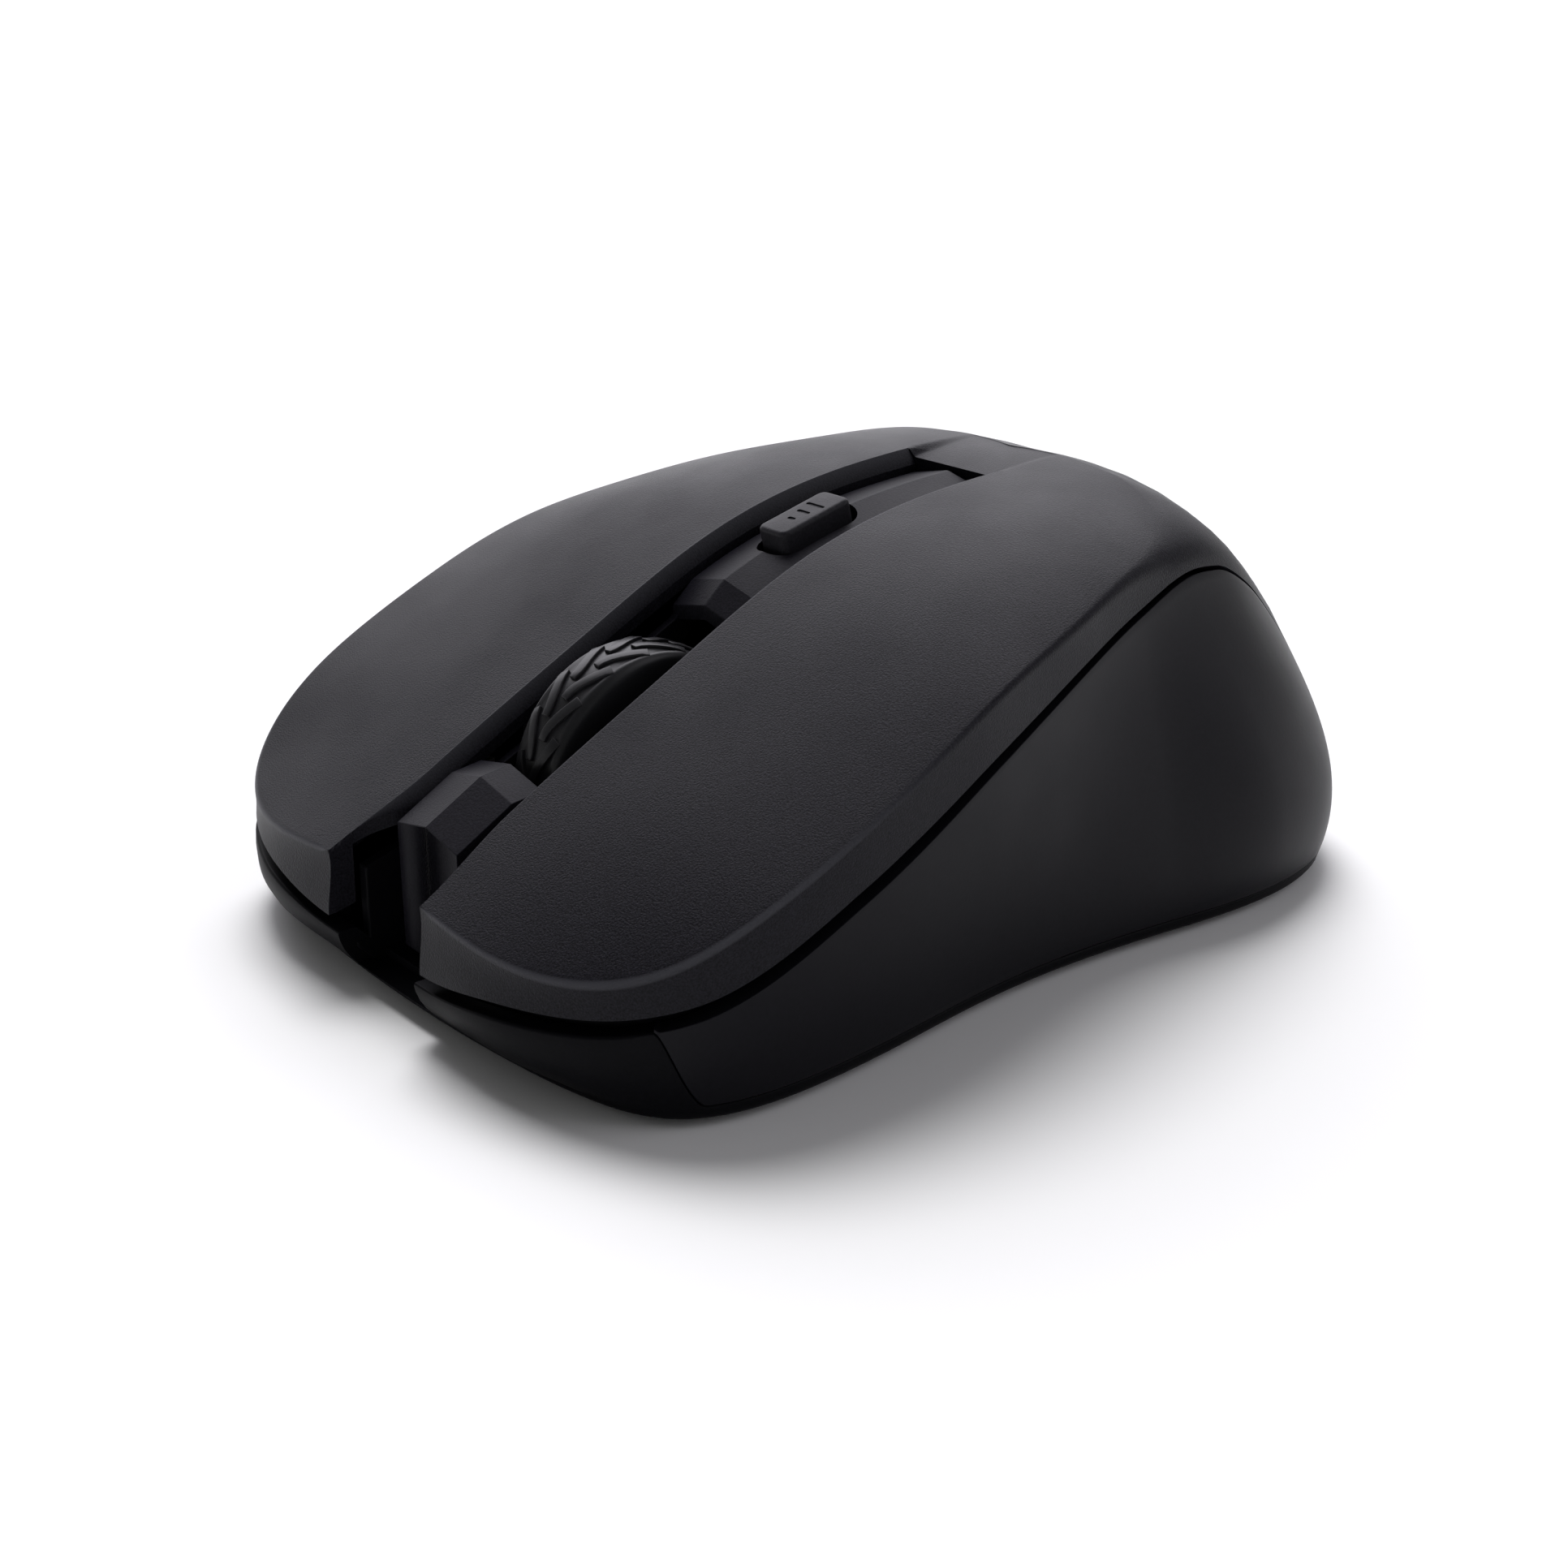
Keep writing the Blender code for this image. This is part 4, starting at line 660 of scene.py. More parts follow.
palm_columns = [palm_column(angle, palm_start(angle)) for angle in palm_angles]
palm_right = flipped(reversed(palm_columns[:-1]), -1)
palm = piece("palm_skin", sheet(palm_columns + palm_right), cover_plastic, 40)
walled(palm, COVER_WALL, crisp=40)
fit(palm, "chassis", "palm_cover", slot="cover")
for name, side in (("left_button", 1), ("right_button", -1)):
    paddle = flipped([column for column, _ in button_columns], side)
    # The paddles carry the painted highlight weights along their crease and channel edge.
    skin = piece(name + "_skin", sheet(paddle, [highlight_weights for _, highlight_weights in button_columns]), cover_plastic, 40)
    walled(skin, COVER_WALL, crisp=40)
    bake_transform(skin)
    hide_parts(name)

# Inner rim
# An upstand of the base's plastic behind the gap under each skirt, which keeps dust and light out.
# Moulded with the tray; each is a curved sheet with a thin wall, set in from the skirt.
RIM_SET_IN = 2.3 * MM
RIM_THICK = 0.8 * MM
RIM_END = 118


def rim_column(angle):
    wall = wall_at(angle)
    along = (crease_ring(angle + 1) - crease_ring(angle - 1)).normalized()
    inward = Vector((-along.y, along.x, 0)) * RIM_SET_IN
    low = parting(angle) - 1.6 * MM
    high = max(min(skirt_low(angle) + 1.2 * MM, crease(angle).z - 3.4 * MM), low + 0.4 * MM)
    return [wall(low + (high - low) * share) + inward for share in (0, 0.5, 1)]


rim_columns = [rim_column(angle) for angle in np.linspace(CORNER_ANGLE + 2, RIM_END, 90)]
for name, side in (("left_rim", 1), ("right_rim", -1)):
    rim = piece(name, sheet(flipped(rim_columns, side)), base_plastic)
    walled(rim, RIM_THICK, 0.1 * MM)
    fit(rim, "chassis", slot="base")

# Spine
# The bridge between the two paddles: a roofed nose in front of the wheel and a roofed strip behind it.
# Moulded in the cover's plastic; facets stay flat and their edges are only just broken.
spine_plastic = moulded(
    "spine_plastic", (0.008, 0.0076, 0.011), 0.45, 0.2 * MM, 0.025 * MM, mottle=0.3, gloss=0.1,
)
SPINE_HALF = 4.8 * MM
ROOF_SLOPE = 0.22
STRIP_DROP = 1.0 * MM
STRIP_WALL = 1.4 * MM
STRIP_FRONT, STRIP_STEP, STRIP_END = -12.7 * MM, -10.4 * MM, 17.7 * MM
NOSE_BREAK, NOSE_REAR = -37.3 * MM, -34.2 * MM
NOSE_LOW = 12.1 * MM
NOSE_WALL = 1.4 * MM
RAMP_SLOPE = 0.89
EDGE_BREAK = 0.06 * MM
ridge = [
    (NOSE_FRONT, FLOOR_TOP + GAP, 0), (NOSE_FRONT, 15.9 * MM, 1), (NOSE_BREAK, 19.1 * MM, 1),
    (NOSE_REAR, 19.5 * MM, 1), (NOSE_REAR, NOSE_LOW, 0), (NOSE_FRONT + NOSE_WALL, NOSE_LOW, 0),
    (NOSE_FRONT + NOSE_WALL, FLOOR_TOP + GAP, 0),
]
nose = bmesh.new()
eave = ROOF_SLOPE * SPINE_HALF
face = nose.faces.new([nose.verts.new((-SPINE_HALF, y, z - eave * roof)) for y, z, roof in ridge])
for rise in (eave, -eave):
    pushed = bmesh.ops.extrude_face_region(nose, geom=[face])["geom"]
    face = next(g for g in pushed if isinstance(g, bmesh.types.BMFace))
    below = eave if rise > 0 else 0
    for vert in face.verts:
        roof = next(r for y, z, r in ridge if (Vector((y, z - below * r)) - vert.co.yz).length < 1e-6)
        vert.co += Vector((SPINE_HALF, 0, rise * roof))
bmesh.ops.recalc_face_normals(nose, faces=nose.faces[:])
soften(nose, [e for e in nose.edges if e.calc_face_angle(0) > 0.1], EDGE_BREAK)
spine_nose = piece("spine_nose", nose, spine_plastic, 4)
fit(spine_nose, "chassis", slot="cover")


def strip_height(y):
    if y < STRIP_STEP:
        return crest(STRIP_STEP) - STRIP_DROP - RAMP_SLOPE * (STRIP_STEP - y)
    return crest(y) - STRIP_DROP


def strip_ring(y):
    """Closed section of the strip: the roof with a narrow flat ridge, and its underside."""
    ridge_z = strip_height(y)
    roof = [Vector((x * SPINE_HALF, y, ridge_z - eave * abs(x))) for x in (-1, -0.02, 0.02, 1)]
    under = [point - Vector((0, 0, STRIP_WALL)) for point in reversed(roof)]
    return roof + under + roof[:1]


strip_ys = list(np.linspace(STRIP_FRONT, STRIP_STEP, 5)) + list(np.linspace(STRIP_STEP, STRIP_END, 40))[1:]
strip_work = sheet([strip_ring(y) for y in strip_ys])
bmesh.ops.holes_fill(strip_work, edges=strip_work.edges[:], sides=0)
bmesh.ops.recalc_face_normals(strip_work, faces=strip_work.faces[:])
soften(strip_work, [e for e in strip_work.edges if e.calc_face_angle(0) > 0.5], EDGE_BREAK)
spine_strip = piece("spine_strip", strip_work, spine_plastic, 5)

KEY_Y = -0.8 * MM
KEY_TILT = math.atan((crest(KEY_Y + 4 * MM) - crest(KEY_Y - 4 * MM)) / (8 * MM))
KEY_FRAME = Matrix.Translation((0, KEY_Y, crest(KEY_Y))) @ Matrix.Rotation(KEY_TILT, 4, "X")
SLOT_HALF = (2.6 * MM, 5.5 * MM)


def rounded_slab(half_x, half_y, corner, low, high, rounds=8):
    """Upright slab with rounded corners, as a bmesh about its own middle."""
    work = block((-half_x, -half_y, low), (half_x, half_y, high))
    upright = [e for e in work.edges if abs(e.verts[0].co.z - e.verts[1].co.z) > 1e-6]
    soften(work, upright, corner, rounds)
    return work


slot_work = rounded_slab(*SLOT_HALF, SLOT_HALF[0] - 0.05 * MM, -6 * MM, 3 * MM, 10)
bmesh.ops.transform(slot_work, matrix=KEY_FRAME, verts=slot_work.verts[:])
carve(spine_strip, [cutter(slot_work)], 5)
fit(spine_strip, "chassis", "spine", slot="cover")

# Rails of the spine
# Two thin bars under the paddles' lips that tie the nose to the strip past the wheel.
# Moulded with the spine; each is a bevelled outline.
for name, side in (("left_rail", 1), ("right_rail", -1)):
    x = side * SPINE_HALF
    rear = STRIP_STEP + 0.5 * MM
    high = strip_height(rear) - eave - 0.5 * MM
    rail = plate([
        (x, NOSE_REAR - 1.5 * MM, 13.4 * MM), (x, NOSE_REAR - 1.5 * MM, 16.4 * MM),
        (x, STRIP_FRONT - 0.4 * MM, 27.4 * MM), (x, rear, high), (x, rear, high - 3.0 * MM),
        (x, STRIP_FRONT - 0.4 * MM, 24.2 * MM),
    ], (-side * 0.9 * MM, 0, 0))
    soften(rail, rail.edges[:], 0.1 * MM)
    fit(piece(name, rail, spine_plastic, 5), "chassis", slot="cover")

# Top key
# A small rounded key in the strip that steps the pointer's speed, pressed straight down onto its switch.
# Glossier plastic than the cover, with three engraved bars of rising length.
key_plastic = moulded("key_plastic", (0.018, 0.0175, 0.021), 0.42, 0.22 * MM, 0.02 * MM, mottle=0.2, gloss=0.12)
KEY_HALF = (2.05 * MM, 4.3 * MM)
KEY_PROUD = 0.4 * MM
FLANGE_TOP = STRIP_DROP + ROOF_SLOPE * 3.4 * MM + STRIP_WALL + 2 * GAP
key_work = rounded_slab(*KEY_HALF, 0.9 * MM, -FLANGE_TOP - 0.4 * MM, KEY_PROUD)
top_rim = [e for e in key_work.edges if all(abs(v.co.z - KEY_PROUD) < 1e-7 for v in e.verts)]
soften(key_work, top_rim, 0.45 * MM, 5)
bmesh.ops.transform(key_work, matrix=KEY_FRAME, verts=key_work.verts[:])
top_key = piece("top_key", key_work, key_plastic, 35)
bars = []
for y, half in ((-1.5, 0.5), (0.0, 0.85), (1.5, 1.2)):
    bar = rounded_slab(half * MM, 0.22 * MM, 0.2 * MM, KEY_PROUD - 0.14 * MM, KEY_PROUD + MM, 4)
    bmesh.ops.translate(bar, verts=bar.verts[:], vec=(0, y * MM, 0))
    bmesh.ops.transform(bar, matrix=KEY_FRAME, verts=bar.verts[:])
    bars.append(cutter(bar))
carve(top_key, bars, 35)
fit(top_key, "dpi_button", "dpi_button", slot="cover")
flange = rounded_slab(3.2 * MM, 5.6 * MM, 1.0 * MM, -FLANGE_TOP - 0.8 * MM, -FLANGE_TOP)
bmesh.ops.transform(flange, matrix=KEY_FRAME, verts=flange.verts[:])
fit(piece("key_flange", flange, key_plastic), "dpi_button", slot="cover")

# Wheel tyre
# A soft ribbed rubber tyre pressed on the hub, with rounded shoulders.
# The ring is turned from its section; staggered slanting lugs stand on it from each shoulder to the middle.
rubber = moulded("tyre_rubber", (0.011, 0.011, 0.0125), 0.38, 0.2 * MM, 0.004 * MM, mottle=0.1, gloss=0.3)
WHEEL_CENTRE = Vector((0, -20.6 * MM, 15.6 * MM))
WHEEL_RADIUS = 12.1 * MM
LUG_RISE = 0.3 * MM
LUGS = 18
LUG_HALF = 0.5
LUG_SHOULDER = 0.18 * MM


def crown(x):
    """Radius of the tread's top across the tyre."""
    return WHEEL_RADIUS - 0.2 * MM * (abs(x) / (2.4 * MM)) ** 2


def lathe(points, centre, axis, steps, closed=True):
    """Shape turned about an axis from section points, as a bmesh. A closed section gives a ring."""
    work = bmesh.new()
    verts = [work.verts.new(point) for point in points]
    ends = verts[1:] + verts[:1] if closed else verts[1:]
    edges = [work.edges.new(pair) for pair in zip(verts, ends)]
    bmesh.ops.spin(work, geom=verts + edges, cent=centre, axis=axis, angle=math.tau, steps=steps, use_merge=True)
    bmesh.ops.remove_doubles(work, verts=work.verts[:], dist=0.002 * MM)
    bmesh.ops.recalc_face_normals(work, faces=work.faces[:])
    return work


def wheel_ring(section, steps):
    """Ring of the wheel from (radius, x) points in millimetres."""
    points = [WHEEL_CENTRE + Vector((x, 0, r)) * MM for r, x in section]
    return lathe(points, WHEEL_CENTRE, (1, 0, 0), steps)


section = [
    (9.8, -2.86), (6.9, -2.86), (6.9, -2.96), (8.2, -3.1), (9.6, -3.19), (10.6, -3.2), (11.05, -3.14),
    (11.38, -2.98), (11.6, -2.72), (11.7, -2.5),
]
section += [((crown(x * MM) - LUG_RISE) / MM, x) for x in (-2.2, -1.5, -0.75, 0)]
section += [(r, -x) for r, x in reversed(section[:-1])]
fit(piece("tyre", wheel_ring(section, 108), rubber, 40), "scroll_wheel", "wheel_tyre", slot="tread")

lugs = bmesh.new()
path = [(2.7, 0.45), (2.0, 0.5), (1.2, 0.78), (0.4, 1.16), (-0.5, 1.6), (-1.3, 1.98), (-2.0, 2.28)]
for side in (-1, 1):
    for count in range(LUGS):
        shift = math.tau * (count + (0.5 if side > 0 else 0)) / LUGS
        made = bmesh.ops.create_grid(lugs, x_segments=1, y_segments=len(path) - 1, size=1)["verts"]
        for i, vert in enumerate(made):
            s, x = path[i // 2]
            before, after = path[max(i // 2 - 1, 0)], path[min(i // 2 + 1, len(path) - 1)]
            along = Vector((after[0] - before[0], after[1] - before[1])).normalized()
            out = LUG_HALF * (1 if i % 2 else -1)
            s, x = s - along.y * out, min(max(x + along.x * out, 0.08), 2.95)
            turn = shift + s * MM / WHEEL_RADIUS
            radius = crown(x * MM) - (LUG_SHOULDER if x > 2.6 else 0)
            vert.co = WHEEL_CENTRE + Vector((side * x * MM, -radius * math.sin(turn), radius * math.cos(turn)))
lugs.normal_update()
inside = [f for f in lugs.faces if f.normal.dot(f.calc_center_median() - WHEEL_CENTRE) < 0]
bmesh.ops.reverse_faces(lugs, faces=inside)
tread_lugs = piece("tread_lugs", lugs, rubber, 40)
walled(tread_lugs, 0.6 * MM, 0.09 * MM, 40)
fit(tread_lugs, "scroll_wheel", slot="tread")

# Wheel hub
# The plastic spool that carries the tyre on the axle, with a lightened web and six round holes through it.
# Turned from its section, then bored.
hub_plastic = moulded("hub_plastic", (0.02, 0.02, 0.022), 0.45, 0.3 * MM, 0.005 * MM)
hub_section = [(1.35, 2.8), (3.15, 2.8), (3.45, 1.5), (8.25, 1.5), (8.55, 2.8), (9.55, 2.8)]
hub_section += [(r, -x) for r, x in reversed(hub_section)]
wheel_hub = piece("hub", wheel_ring(hub_section, 72), hub_plastic)
HOLES, HOLE_RADIUS, HOLE_RING = 6, 1.5 * MM, 5.9 * MM
holes = []
for count in range(HOLES):
    turn = math.tau * count / HOLES
    hole = bmesh.new()
    place = Matrix.Translation(WHEEL_CENTRE + Vector((0, math.cos(turn), math.sin(turn))) * HOLE_RING)
    bmesh.ops.create_cone(
        hole, cap_ends=True, segments=24, radius1=HOLE_RADIUS, radius2=HOLE_RADIUS, depth=9 * MM,
        matrix=place @ Matrix.Rotation(math.pi / 2, 4, "Y"),
    )
    holes.append(cutter(hole))
carve(wheel_hub, holes)
fit(wheel_hub, "scroll_wheel", "wheel_hub", slot="frame")

# Axle and cradle
# A ground steel pin carries the wheel in a pivoting frame, with the turn counter on the pin's end.
# The pin is a turned rod with broken ends; the frame and the counter keep their CAD shapes.
def metal(name, colour, roughness, grain, brushed):
    """Metal with fine marks along one direction, uneven in shine."""
    made = bpy.data.materials.new(name)
    made.use_nodes = True
    nodes, links = made.node_tree.nodes, made.node_tree.links
    shader = nodes["Principled BSDF"]
    shader.inputs["Metallic"].default_value = 1.0
    place = nodes.new("ShaderNodeTexCoord")
    turn = nodes.new("ShaderNodeMapping")
    turn.inputs["Scale"].default_value = brushed
    links.new(place.outputs["Object"], turn.inputs["Vector"])
    marks = nodes.new("ShaderNodeTexNoise")
    marks.inputs["Scale"].default_value = 1 / grain
    marks.inputs["Detail"].default_value = 3.0
    links.new(turn.outputs["Vector"], marks.inputs["Vector"])
    tone = nodes.new("ShaderNodeValToRGB")
    tone.color_ramp.elements[0].color = (*(c * 0.85 for c in colour), 1)
    tone.color_ramp.elements[1].color = (*colour, 1)
    links.new(marks.outputs["Fac"], tone.inputs["Fac"])
    links.new(tone.outputs["Color"], shader.inputs["Base Color"])
    shine = nodes.new("ShaderNodeMapRange")
    shine.inputs["To Min"].default_value = roughness - 0.08
    shine.inputs["To Max"].default_value = roughness + 0.08
    links.new(marks.outputs["Fac"], shine.inputs["Value"])
    links.new(shine.outputs["Result"], shader.inputs["Roughness"])
    raised = nodes.new("ShaderNodeBump")
    raised.inputs["Distance"].default_value = 0.002 * MM
    links.new(marks.outputs["Fac"], raised.inputs["Height"])
    links.new(raised.outputs["Normal"], shader.inputs["Normal"])
    return made


def rod(start, end, radius, broken, sides=48):
    """Round bar with broken end edges, as a bmesh."""
    start, end = Vector(start), Vector(end)
    run = end - start
    place = Matrix.Translation((start + end) / 2) @ run.to_track_quat("Z", "Y").to_matrix().to_4x4()
    work = bmesh.new()
    bmesh.ops.create_cone(
        work, cap_ends=True, segments=sides, radius1=radius, radius2=radius, depth=run.length, matrix=place,
    )
    rims = [e for e in work.edges if any(len(f.verts) > 4 for f in e.link_faces)]
    soften(work, rims, broken)
    return work


def coat(material, *names):
    """Gives CAD nodes that keep their shape their finish."""
    for name in names:
        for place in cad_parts[name].material_slots:
            place.material = material


steel = metal("spring_steel", (0.62, 0.61, 0.6), 0.3, 0.12 * MM, (1, 12, 12))
axle_low, axle_high = (Vector(corner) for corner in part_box("wheel_axle"))
axle = rod((axle_low.x, *WHEEL_CENTRE.yz), (axle_high.x, *WHEEL_CENTRE.yz), 1.1 * MM, 0.2 * MM)
fit(piece("axle", axle, steel), "scroll_wheel", "wheel_axle", slot="steel")
frame_plastic = moulded("frame_plastic", (0.012, 0.012, 0.013), 0.5, 0.3 * MM, 0.006 * MM)
coat(frame_plastic, "wheel_cradle")

# Circuit boards
# Glass-fibre boards under a black solder mask: the main one on two bosses, a small one under the top key.
# They keep their CAD shapes; the mask is mottled in tone.
board_mask = moulded("board_mask", (0.004, 0.0065, 0.005), 0.38, 1.6 * MM, 0.01 * MM, mottle=0.5, gloss=0.3)
coat(board_mask, "main_board", "dpi_board", "scroll_encoder")

# Parts on the boards
# Switch bodies, sensor, radio and capacitor in dark moulded epoxy, a steel crystal can and a red lamp.
# They keep their CAD shapes and are soldered flat on the boards; the moving switch keys are pale nylon.
epoxy = moulded("epoxy", (0.015, 0.015, 0.016), 0.55, 0.15 * MM, 0.008 * MM)
nylon = moulded("nylon", (0.5, 0.48, 0.43), 0.45, 0.2 * MM, 0.004 * MM, mottle=0.05)
lamp_red = moulded("lamp_red", (0.45, 0.02, 0.015), 0.2, 0.4 * MM, 0.002 * MM, mottle=0.1)
coat(epoxy, "left_switch", "right_switch", "middle_switch", "dpi_switch", "power_switch")
coat(epoxy, "optical_sensor", "radio_chip", "capacitor")
coat(nylon, "left_plunger", "right_plunger", "middle_plunger", "dpi_plunger")
coat(steel, "crystal", "left_board_screw", "right_board_screw", "case_screw")
coat(lamp_red, "sensor_led")

# Slide feet
# Two low-friction pads glued in shallow pockets, pale PTFE with rounded corners and edges.
# Each is a slab with its corners and its sliding edge rounded.
feet_finish = moulded("slide_foot", (0.36, 0.36, 0.37), 0.42, 0.4 * MM, 0.004 * MM, mottle=0.06)
FOOT = 0.9 * MM
for name, y, half, deep in FEET:
    foot = rounded_slab(half, deep, 1.6 * MM, 0, FOOT, 8)
    sole = [e for e in foot.edges if all(v.co.z < 1e-7 for v in e.verts)]
    soften(foot, sole, 0.3 * MM, 3)
    bmesh.ops.translate(foot, verts=foot.verts[:], vec=(0, y, 0))
    fit(piece(name + "_pad", foot, feet_finish), "chassis", name, slot="slippery")

# Sensor lens
# A clear acrylic carrier behind the floor's window, with a round lens that looks down at the desk.
# The carrier is a rounded plate; the lens is turned from its section.
acrylic = moulded("clear_acrylic", (0.7, 0.74, 0.76), 0.12, 0.8 * MM, 0.001 * MM, mottle=0.03)
acrylic.node_tree.nodes["Principled BSDF"].inputs["Transmission Weight"].default_value = 0.7
window = rounded_slab(7.5 * MM, 5.5 * MM, 1.2 * MM, 3.1 * MM, 4.3 * MM, 6)
bmesh.ops.translate(window, verts=window.verts[:], vec=(0, SENSOR_Y, 0))
fit(piece("lens_carrier", window, acrylic), "chassis", "sensor_lens", slot="clear")
barrel_section = [(0, 1.8), (0.9, 1.86), (1.6, 2.02), (2.1, 2.25), (2.4, 2.6), (2.4, 3.15)]
barrel_points = [(r * MM, SENSOR_Y, z * MM) for r, z in barrel_section]
barrel = lathe(barrel_points, (0, SENSOR_Y, 0), (0, 0, 1), 40, closed=False)
bmesh.ops.holes_fill(barrel, edges=barrel.edges[:], sides=0)
bmesh.ops.recalc_face_normals(barrel, faces=barrel.faces[:])
fit(piece("lens_barrel", barrel, acrylic, 50), "chassis", slot="clear")

# Power slider
# A small ribbed knob in the slot of the floor that slides across to switch the mouse on.
# Pale nylon; its grip is a row of ridges pushed through from a toothed outline.
left, right = POWER_X - KNOB[0] / 2, POWER_X + KNOB[0] / 2
low_y = POWER_Y - KNOB[1] / 2
TEETH, TOOTH_HALF = 4, 0.2 * MM
TOOTH_TIP, TOOTH_SIDE, TOOTH_ROOT = 0.8 * MM, 1.0 * MM, 1.15 * MM
pitch = KNOB[0] / TEETH
teeth = [(left, low_y, FLOOR_TOP), (left, low_y, TOOTH_SIDE)]
for count in range(TEETH):
    tooth = left + pitch * (count + 0.5)
    teeth += [(tooth - TOOTH_HALF, low_y, TOOTH_TIP), (tooth + TOOTH_HALF, low_y, TOOTH_TIP)]
    if count < TEETH - 1:
        teeth.append((tooth + pitch / 2, low_y, TOOTH_ROOT))
teeth += [(right, low_y, TOOTH_SIDE), (right, low_y, FLOOR_TOP)]
knob = plate(teeth, (0, KNOB[1], 0))
fit(piece("power_knob", knob, nylon), "power_slider", "power_slider", slot="slippery")

# Battery
# One cylindrical cell in a printed film sleeve, lying across the bay against a coil spring and a flat contact.
# The can and its sleeve are turned from their sections; the film is black with a copper band at the far end.
CELL_START, CELL_END = -23.5 * MM, 26.0 * MM
CELL_CENTRE = Vector((0, 17.6 * MM, 10.35 * MM))


def turned_along(section):
    """Shape turned about the cell's own axis from (radius, x) points."""
    points = [CELL_CENTRE + Vector((x, 0, r)) for r, x in section]
    return lathe(points, CELL_CENTRE, (1, 0, 0), 64, closed=False)


nickel = metal("nickel_can", (0.6, 0.58, 0.55), 0.28, 0.2 * MM, (8, 1, 1))
can = turned_along([
    (0, CELL_START), (4.6 * MM, CELL_START), (5.0 * MM, CELL_START + 0.4 * MM), (6.4 * MM, CELL_START + 0.4 * MM),
    (6.9 * MM, CELL_START + 0.9 * MM), (6.9 * MM, CELL_END - 0.9 * MM), (6.4 * MM, CELL_END - 0.4 * MM),
    (3.1 * MM, CELL_END - 0.3 * MM), (2.7 * MM, CELL_END), (2.7 * MM, CELL_END + 0.8 * MM),
    (2.5 * MM, CELL_END + 1.0 * MM), (0, CELL_END + 1.0 * MM),
])
fit(piece("cell_can", can, nickel), "chassis", "battery", slot="cell")
film = moulded("cell_film", (0.012, 0.012, 0.013), 0.25, 0.5 * MM, 0.002 * MM, mottle=0.1)
copper_film = moulded("copper_film", (0.42, 0.19, 0.07), 0.28, 0.5 * MM, 0.002 * MM, mottle=0.1)
BAND = CELL_END - 13 * MM
SLEEVE = 7.2 * MM
SLEEVE_TURN = 6.9 * MM
SLEEVE_LIP = 5.6 * MM
sleeve = turned_along([
    (SLEEVE_LIP, CELL_START + 0.1 * MM), (SLEEVE_TURN, CELL_START + 0.1 * MM), (SLEEVE, CELL_START + 0.5 * MM),
    (SLEEVE, BAND),
])
fit(piece("cell_sleeve", sleeve, film), "chassis", slot="cell")
band = turned_along([
    (SLEEVE, BAND), (SLEEVE, CELL_END - 0.5 * MM), (SLEEVE_TURN, CELL_END - 0.1 * MM),
    (SLEEVE_LIP, CELL_END - 0.1 * MM),
])
fit(piece("cell_band", band, copper_film), "chassis", slot="cell")

# Battery contacts
# A conical coil of spring wire at one end and a flat nickelled plate at the other.
# The coil is a swept round wire; the plate is cut from strip, with its edges broken.
COIL_START, COIL_END, COIL_TURNS = -28.2 * MM, -24.3 * MM, 3.5
COIL_WIDE, COIL_TAPER, COIL_POINTS = 4.4, 2.2, 160
coil_path = bpy.data.curves.new("coil", "CURVE")
coil_path.dimensions = "3D"
coil_path.bevel_depth = 0.4 * MM
coil_path.bevel_resolution = 3
coil_path.use_fill_caps = True
turns = coil_path.splines.new("POLY")
turns.points.add(COIL_POINTS - 1)
for i, point in enumerate(turns.points):
    t = i / (COIL_POINTS - 1)
    wide = (COIL_WIDE - COIL_TAPER * t) * MM
    turn = t * COIL_TURNS * math.tau
    point.co = (
        COIL_START + (COIL_END - COIL_START) * t, CELL_CENTRE.y + wide * math.cos(turn),
        CELL_CENTRE.z + wide * math.sin(turn), 1,
    )
coil_curve = bpy.data.objects.new("coil", coil_path)
bpy.context.scene.collection.objects.link(coil_curve)
coil_mesh = bpy.data.meshes.new_from_object(coil_curve.evaluated_get(bpy.context.evaluated_depsgraph_get()))
bpy.data.objects.remove(coil_curve, do_unlink=True)
coil_mesh.materials.clear()
coil_mesh.materials.append(steel)
coil = bpy.data.objects.new("contact_coil", coil_mesh)
bpy.context.scene.collection.objects.link(coil)
shade(coil, 60)
fit(coil, "chassis", "battery_spring", slot="steel")
plate_low, plate_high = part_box("battery_plate")
contact = block(plate_low, plate_high, 0.12 * MM, 2)
fit(piece("contact_plate", contact, nickel), "chassis", "battery_plate", slot="steel")

# Battery door
# A thin lid of the base's plastic that hinges at the front of the bay and closes it flush.
# A bevelled six-sided plate with a thumb hollow and an engraved arrow head at its free end.
door = plate(bay_outline(-DOOR_INSET, FLOOR_BOTTOM), (0, 0, DOOR_TOP - FLOOR_BOTTOM))
soften(door, door.edges[:], 0.2 * MM)
battery_lid = piece("battery_lid", door, base_plastic)
hollow = bmesh.new()
bmesh.ops.create_uvsphere(
    hollow, u_segments=48, v_segments=24, radius=1,
    matrix=Matrix.Translation((0, 34.4 * MM, 0.2 * MM)) @ Matrix.Diagonal((9 * MM, 3.2 * MM, 0.85 * MM, 1)),
)
arrow = plate([
    (-2.2 * MM, 27.2 * MM, 0), (0, 29.0 * MM, 0), (2.2 * MM, 27.2 * MM, 0), (0, 28.0 * MM, 0),
], (0, 0, FLOOR_BOTTOM + 0.25 * MM))
carve(battery_lid, [cutter(hollow), cutter(arrow)])
fit(battery_lid, "battery_door", "battery_door", slot="base")

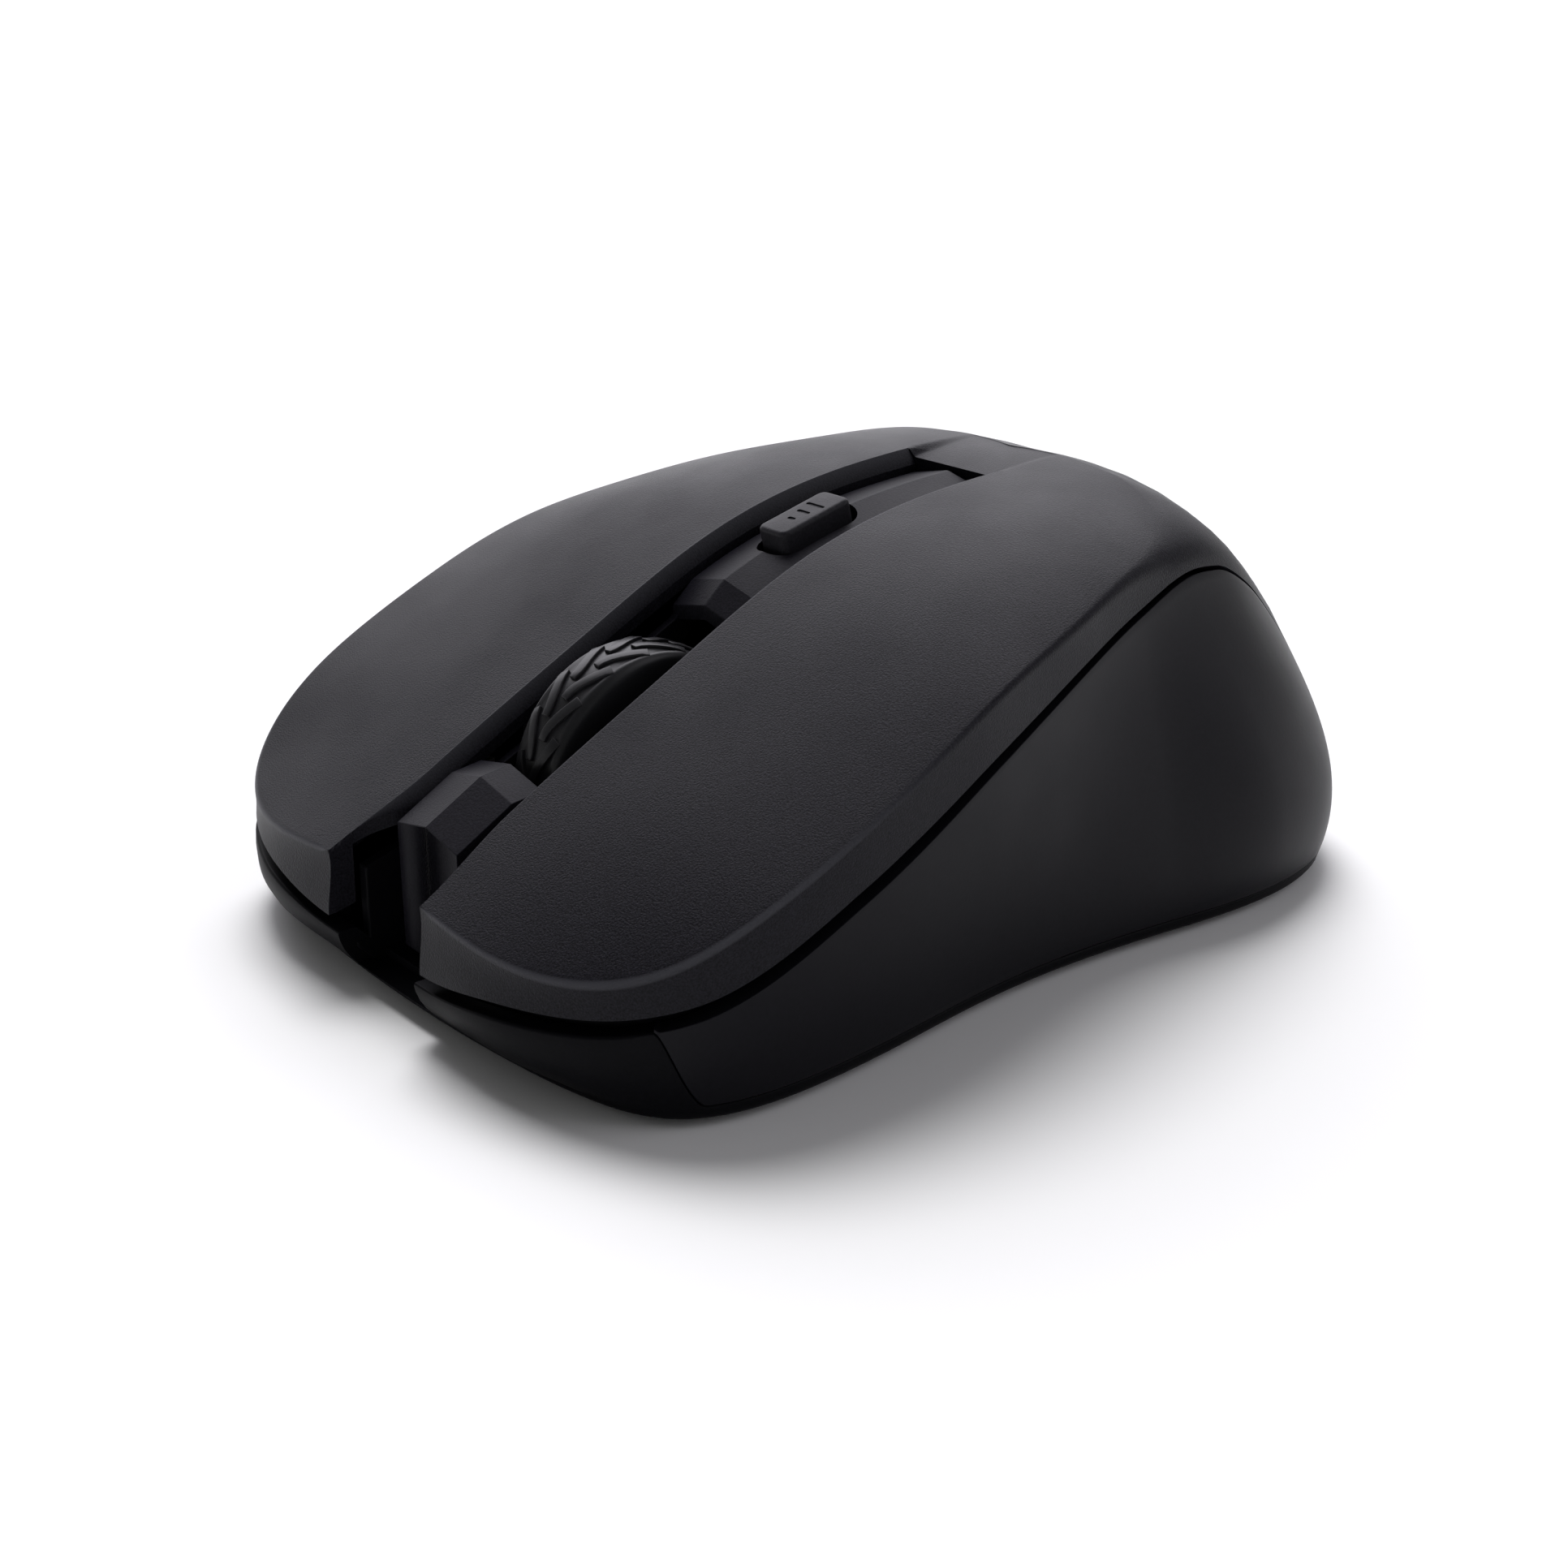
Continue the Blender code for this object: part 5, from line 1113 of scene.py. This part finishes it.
# Stowed receiver
# The small radio receiver kept beside the cell: a rounded plastic cap on a folded steel plug.
# The cap is a softened block; the plug has its two square latch windows and a black insulator in its mouth.
cap_low, cap_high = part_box("receiver_body")
cap = block(cap_low, cap_high, 0.9 * MM, 4)
fit(piece("receiver_cap", cap, frame_plastic, 40), "chassis", "receiver_body", slot="chip")
plug_low, plug_high = (Vector(corner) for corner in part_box("receiver_plug"))
plug = piece("receiver_shell", block(plug_low, plug_high, 0.25 * MM, 3), steel)
LATCH_HALF = 1.1 * MM
latches = []
for across in (0.28, 0.72):
    x, y = plug_low.lerp(plug_high, 0.55).x, plug_low.lerp(plug_high, across).y
    latches.append(block(
        (x - LATCH_HALF, y - LATCH_HALF, plug_low.z - MM), (x + LATCH_HALF, y + LATCH_HALF, plug_low.z + 0.3 * MM),
    ))
mouth = block(plug_low + Vector((9.5, 0.4, 0.4)) * MM, plug_high + Vector((1, -0.4, -0.4)) * MM)
carve(plug, [cutter(work) for work in latches + [mouth]])
fit(plug, "chassis", "receiver_plug", slot="steel")
tongue = block(plug_low + Vector((9.0, 0.7, 2.2)) * MM, plug_high - Vector((0.4, 0.7, 0.6)) * MM, 0.15 * MM)
fit(piece("receiver_tongue", tongue, epoxy), "chassis", slot="chip")

# Floor, light and camera
# A plain white table under a dim studio. A wide softbox stands opposite the camera, a narrower one behind the
# mouse's left flank, and a soft lamp hangs high up. The camera stands where the photograph was taken from.
floor_work = bmesh.new()
bmesh.ops.create_grid(floor_work, x_segments=1, y_segments=1, size=40)
floor_white = bpy.data.materials.new("floor_white")
floor_white.use_nodes = True
table = floor_white.node_tree.nodes["Principled BSDF"]
table.inputs["Base Color"].default_value = (0.95, 0.95, 0.95, 1)
table.inputs["Roughness"].default_value = 1.0
table.inputs["Specular IOR Level"].default_value = 0.0
piece("floor", floor_work, floor_white)

sky = bpy.data.worlds.new("studio")
sky.use_nodes = True
bpy.context.scene.world = sky
nodes, links = sky.node_tree.nodes, sky.node_tree.links
way = nodes.new("ShaderNodeTexCoord")
axes = nodes.new("ShaderNodeSeparateXYZ")
links.new(way.outputs["Generated"], axes.inputs["Vector"])
height = nodes.new("ShaderNodeValToRGB")
height.color_ramp.elements[0].position = 0.085
height.color_ramp.elements[0].color = (1, 1, 1, 1)
height.color_ramp.elements[1].position = 0.5
height.color_ramp.elements[1].color = (0.14, 0.14, 0.14, 1)
height.color_ramp.elements.new(0.11).color = (0.16, 0.16, 0.16, 1)
links.new(axes.outputs["Z"], height.inputs["Fac"])
level = nodes.new("ShaderNodeVectorMath")
level.operation = "MULTIPLY"
level.inputs[1].default_value = (1, 1, 0)
links.new(way.outputs["Generated"], level.inputs[0])
bearing = nodes.new("ShaderNodeVectorMath")
bearing.operation = "NORMALIZE"
links.new(level.outputs["Vector"], bearing.inputs[0])


def faded(source, start, end):
    """Soft edge of the softbox: none at start, full at end."""
    made = nodes.new("ShaderNodeMapRange")
    made.interpolation_type = "SMOOTHSTEP"
    made.inputs["From Min"].default_value, made.inputs["From Max"].default_value = start, end
    links.new(source, made.inputs["Value"])
    return made.outputs["Result"]


def times(first, second):
    made = nodes.new("ShaderNodeMath")
    made.operation = "MULTIPLY"
    links.new(first, made.inputs[0])
    links.new(second, made.inputs[1])
    return made.outputs["Value"]


def softbox(behind, turn, full, none, top, bottom, colour):
    """Light panel over what is behind it, at a bearing from the back, full and none degrees from its middle."""
    turn = math.radians(turn)
    facing = nodes.new("ShaderNodeVectorMath")
    facing.operation = "DOT_PRODUCT"
    facing.inputs[1].default_value = (-math.sin(turn), math.cos(turn), 0)
    links.new(bearing.outputs["Vector"], facing.inputs[0])
    across = faded(facing.outputs["Value"], math.cos(math.radians(none)), math.cos(math.radians(full)))
    panel_light = nodes.new("ShaderNodeMix")
    panel_light.data_type = "RGBA"
    upright = times(faded(axes.outputs["Z"], *top), faded(axes.outputs["Z"], *bottom))
    links.new(times(across, upright), panel_light.inputs["Factor"])
    links.new(behind, panel_light.inputs["A"])
    panel_light.inputs["B"].default_value = (*colour, 1)
    return panel_light.outputs["Result"]


main_panel = softbox(
    height.outputs["Color"], turn=57, full=28, none=44, top=(1.0, 0.86), bottom=(-0.25, 0.6),
    colour=(2.75, 2.7, 2.88),
)
side_panel = softbox(
    main_panel, turn=-45, full=10, none=30, top=(0.95, 0.75), bottom=(-0.3, 0.5), colour=(1.2, 1.18, 1.26),
)
links.new(side_panel, nodes["Background"].inputs["Color"])


lamp = bpy.data.lights.new("overhead", "SUN")
lamp.energy = 1.85
lamp.angle = math.radians(30)
overhead = bpy.data.objects.new("overhead", lamp)
overhead.location = (-0.4, 0.25, 0.88)
overhead.rotation_euler = (-overhead.location).to_track_quat("-Z", "Y").to_euler()
overhead.visible_glossy = False
bpy.context.scene.collection.objects.link(overhead)

lens = bpy.data.cameras.new("camera")
lens.lens = 50.0
lens.sensor_width = 36.0
lens.clip_start = 0.01
camera = bpy.data.objects.new("camera", lens)
azimuth, elevation = math.radians(49.96), math.radians(21.64)
ahead = Vector((
    -math.sin(azimuth) * math.cos(elevation), math.cos(azimuth) * math.cos(elevation), -math.sin(elevation),
))
camera.location = Vector((150.04, -129.34, 87.46)) * MM
camera.rotation_euler = ahead.to_track_quat("-Z", "Y").to_euler()
bpy.context.scene.collection.objects.link(camera)
bpy.context.scene.camera = camera
bpy.context.scene.view_settings.view_transform = "Standard"
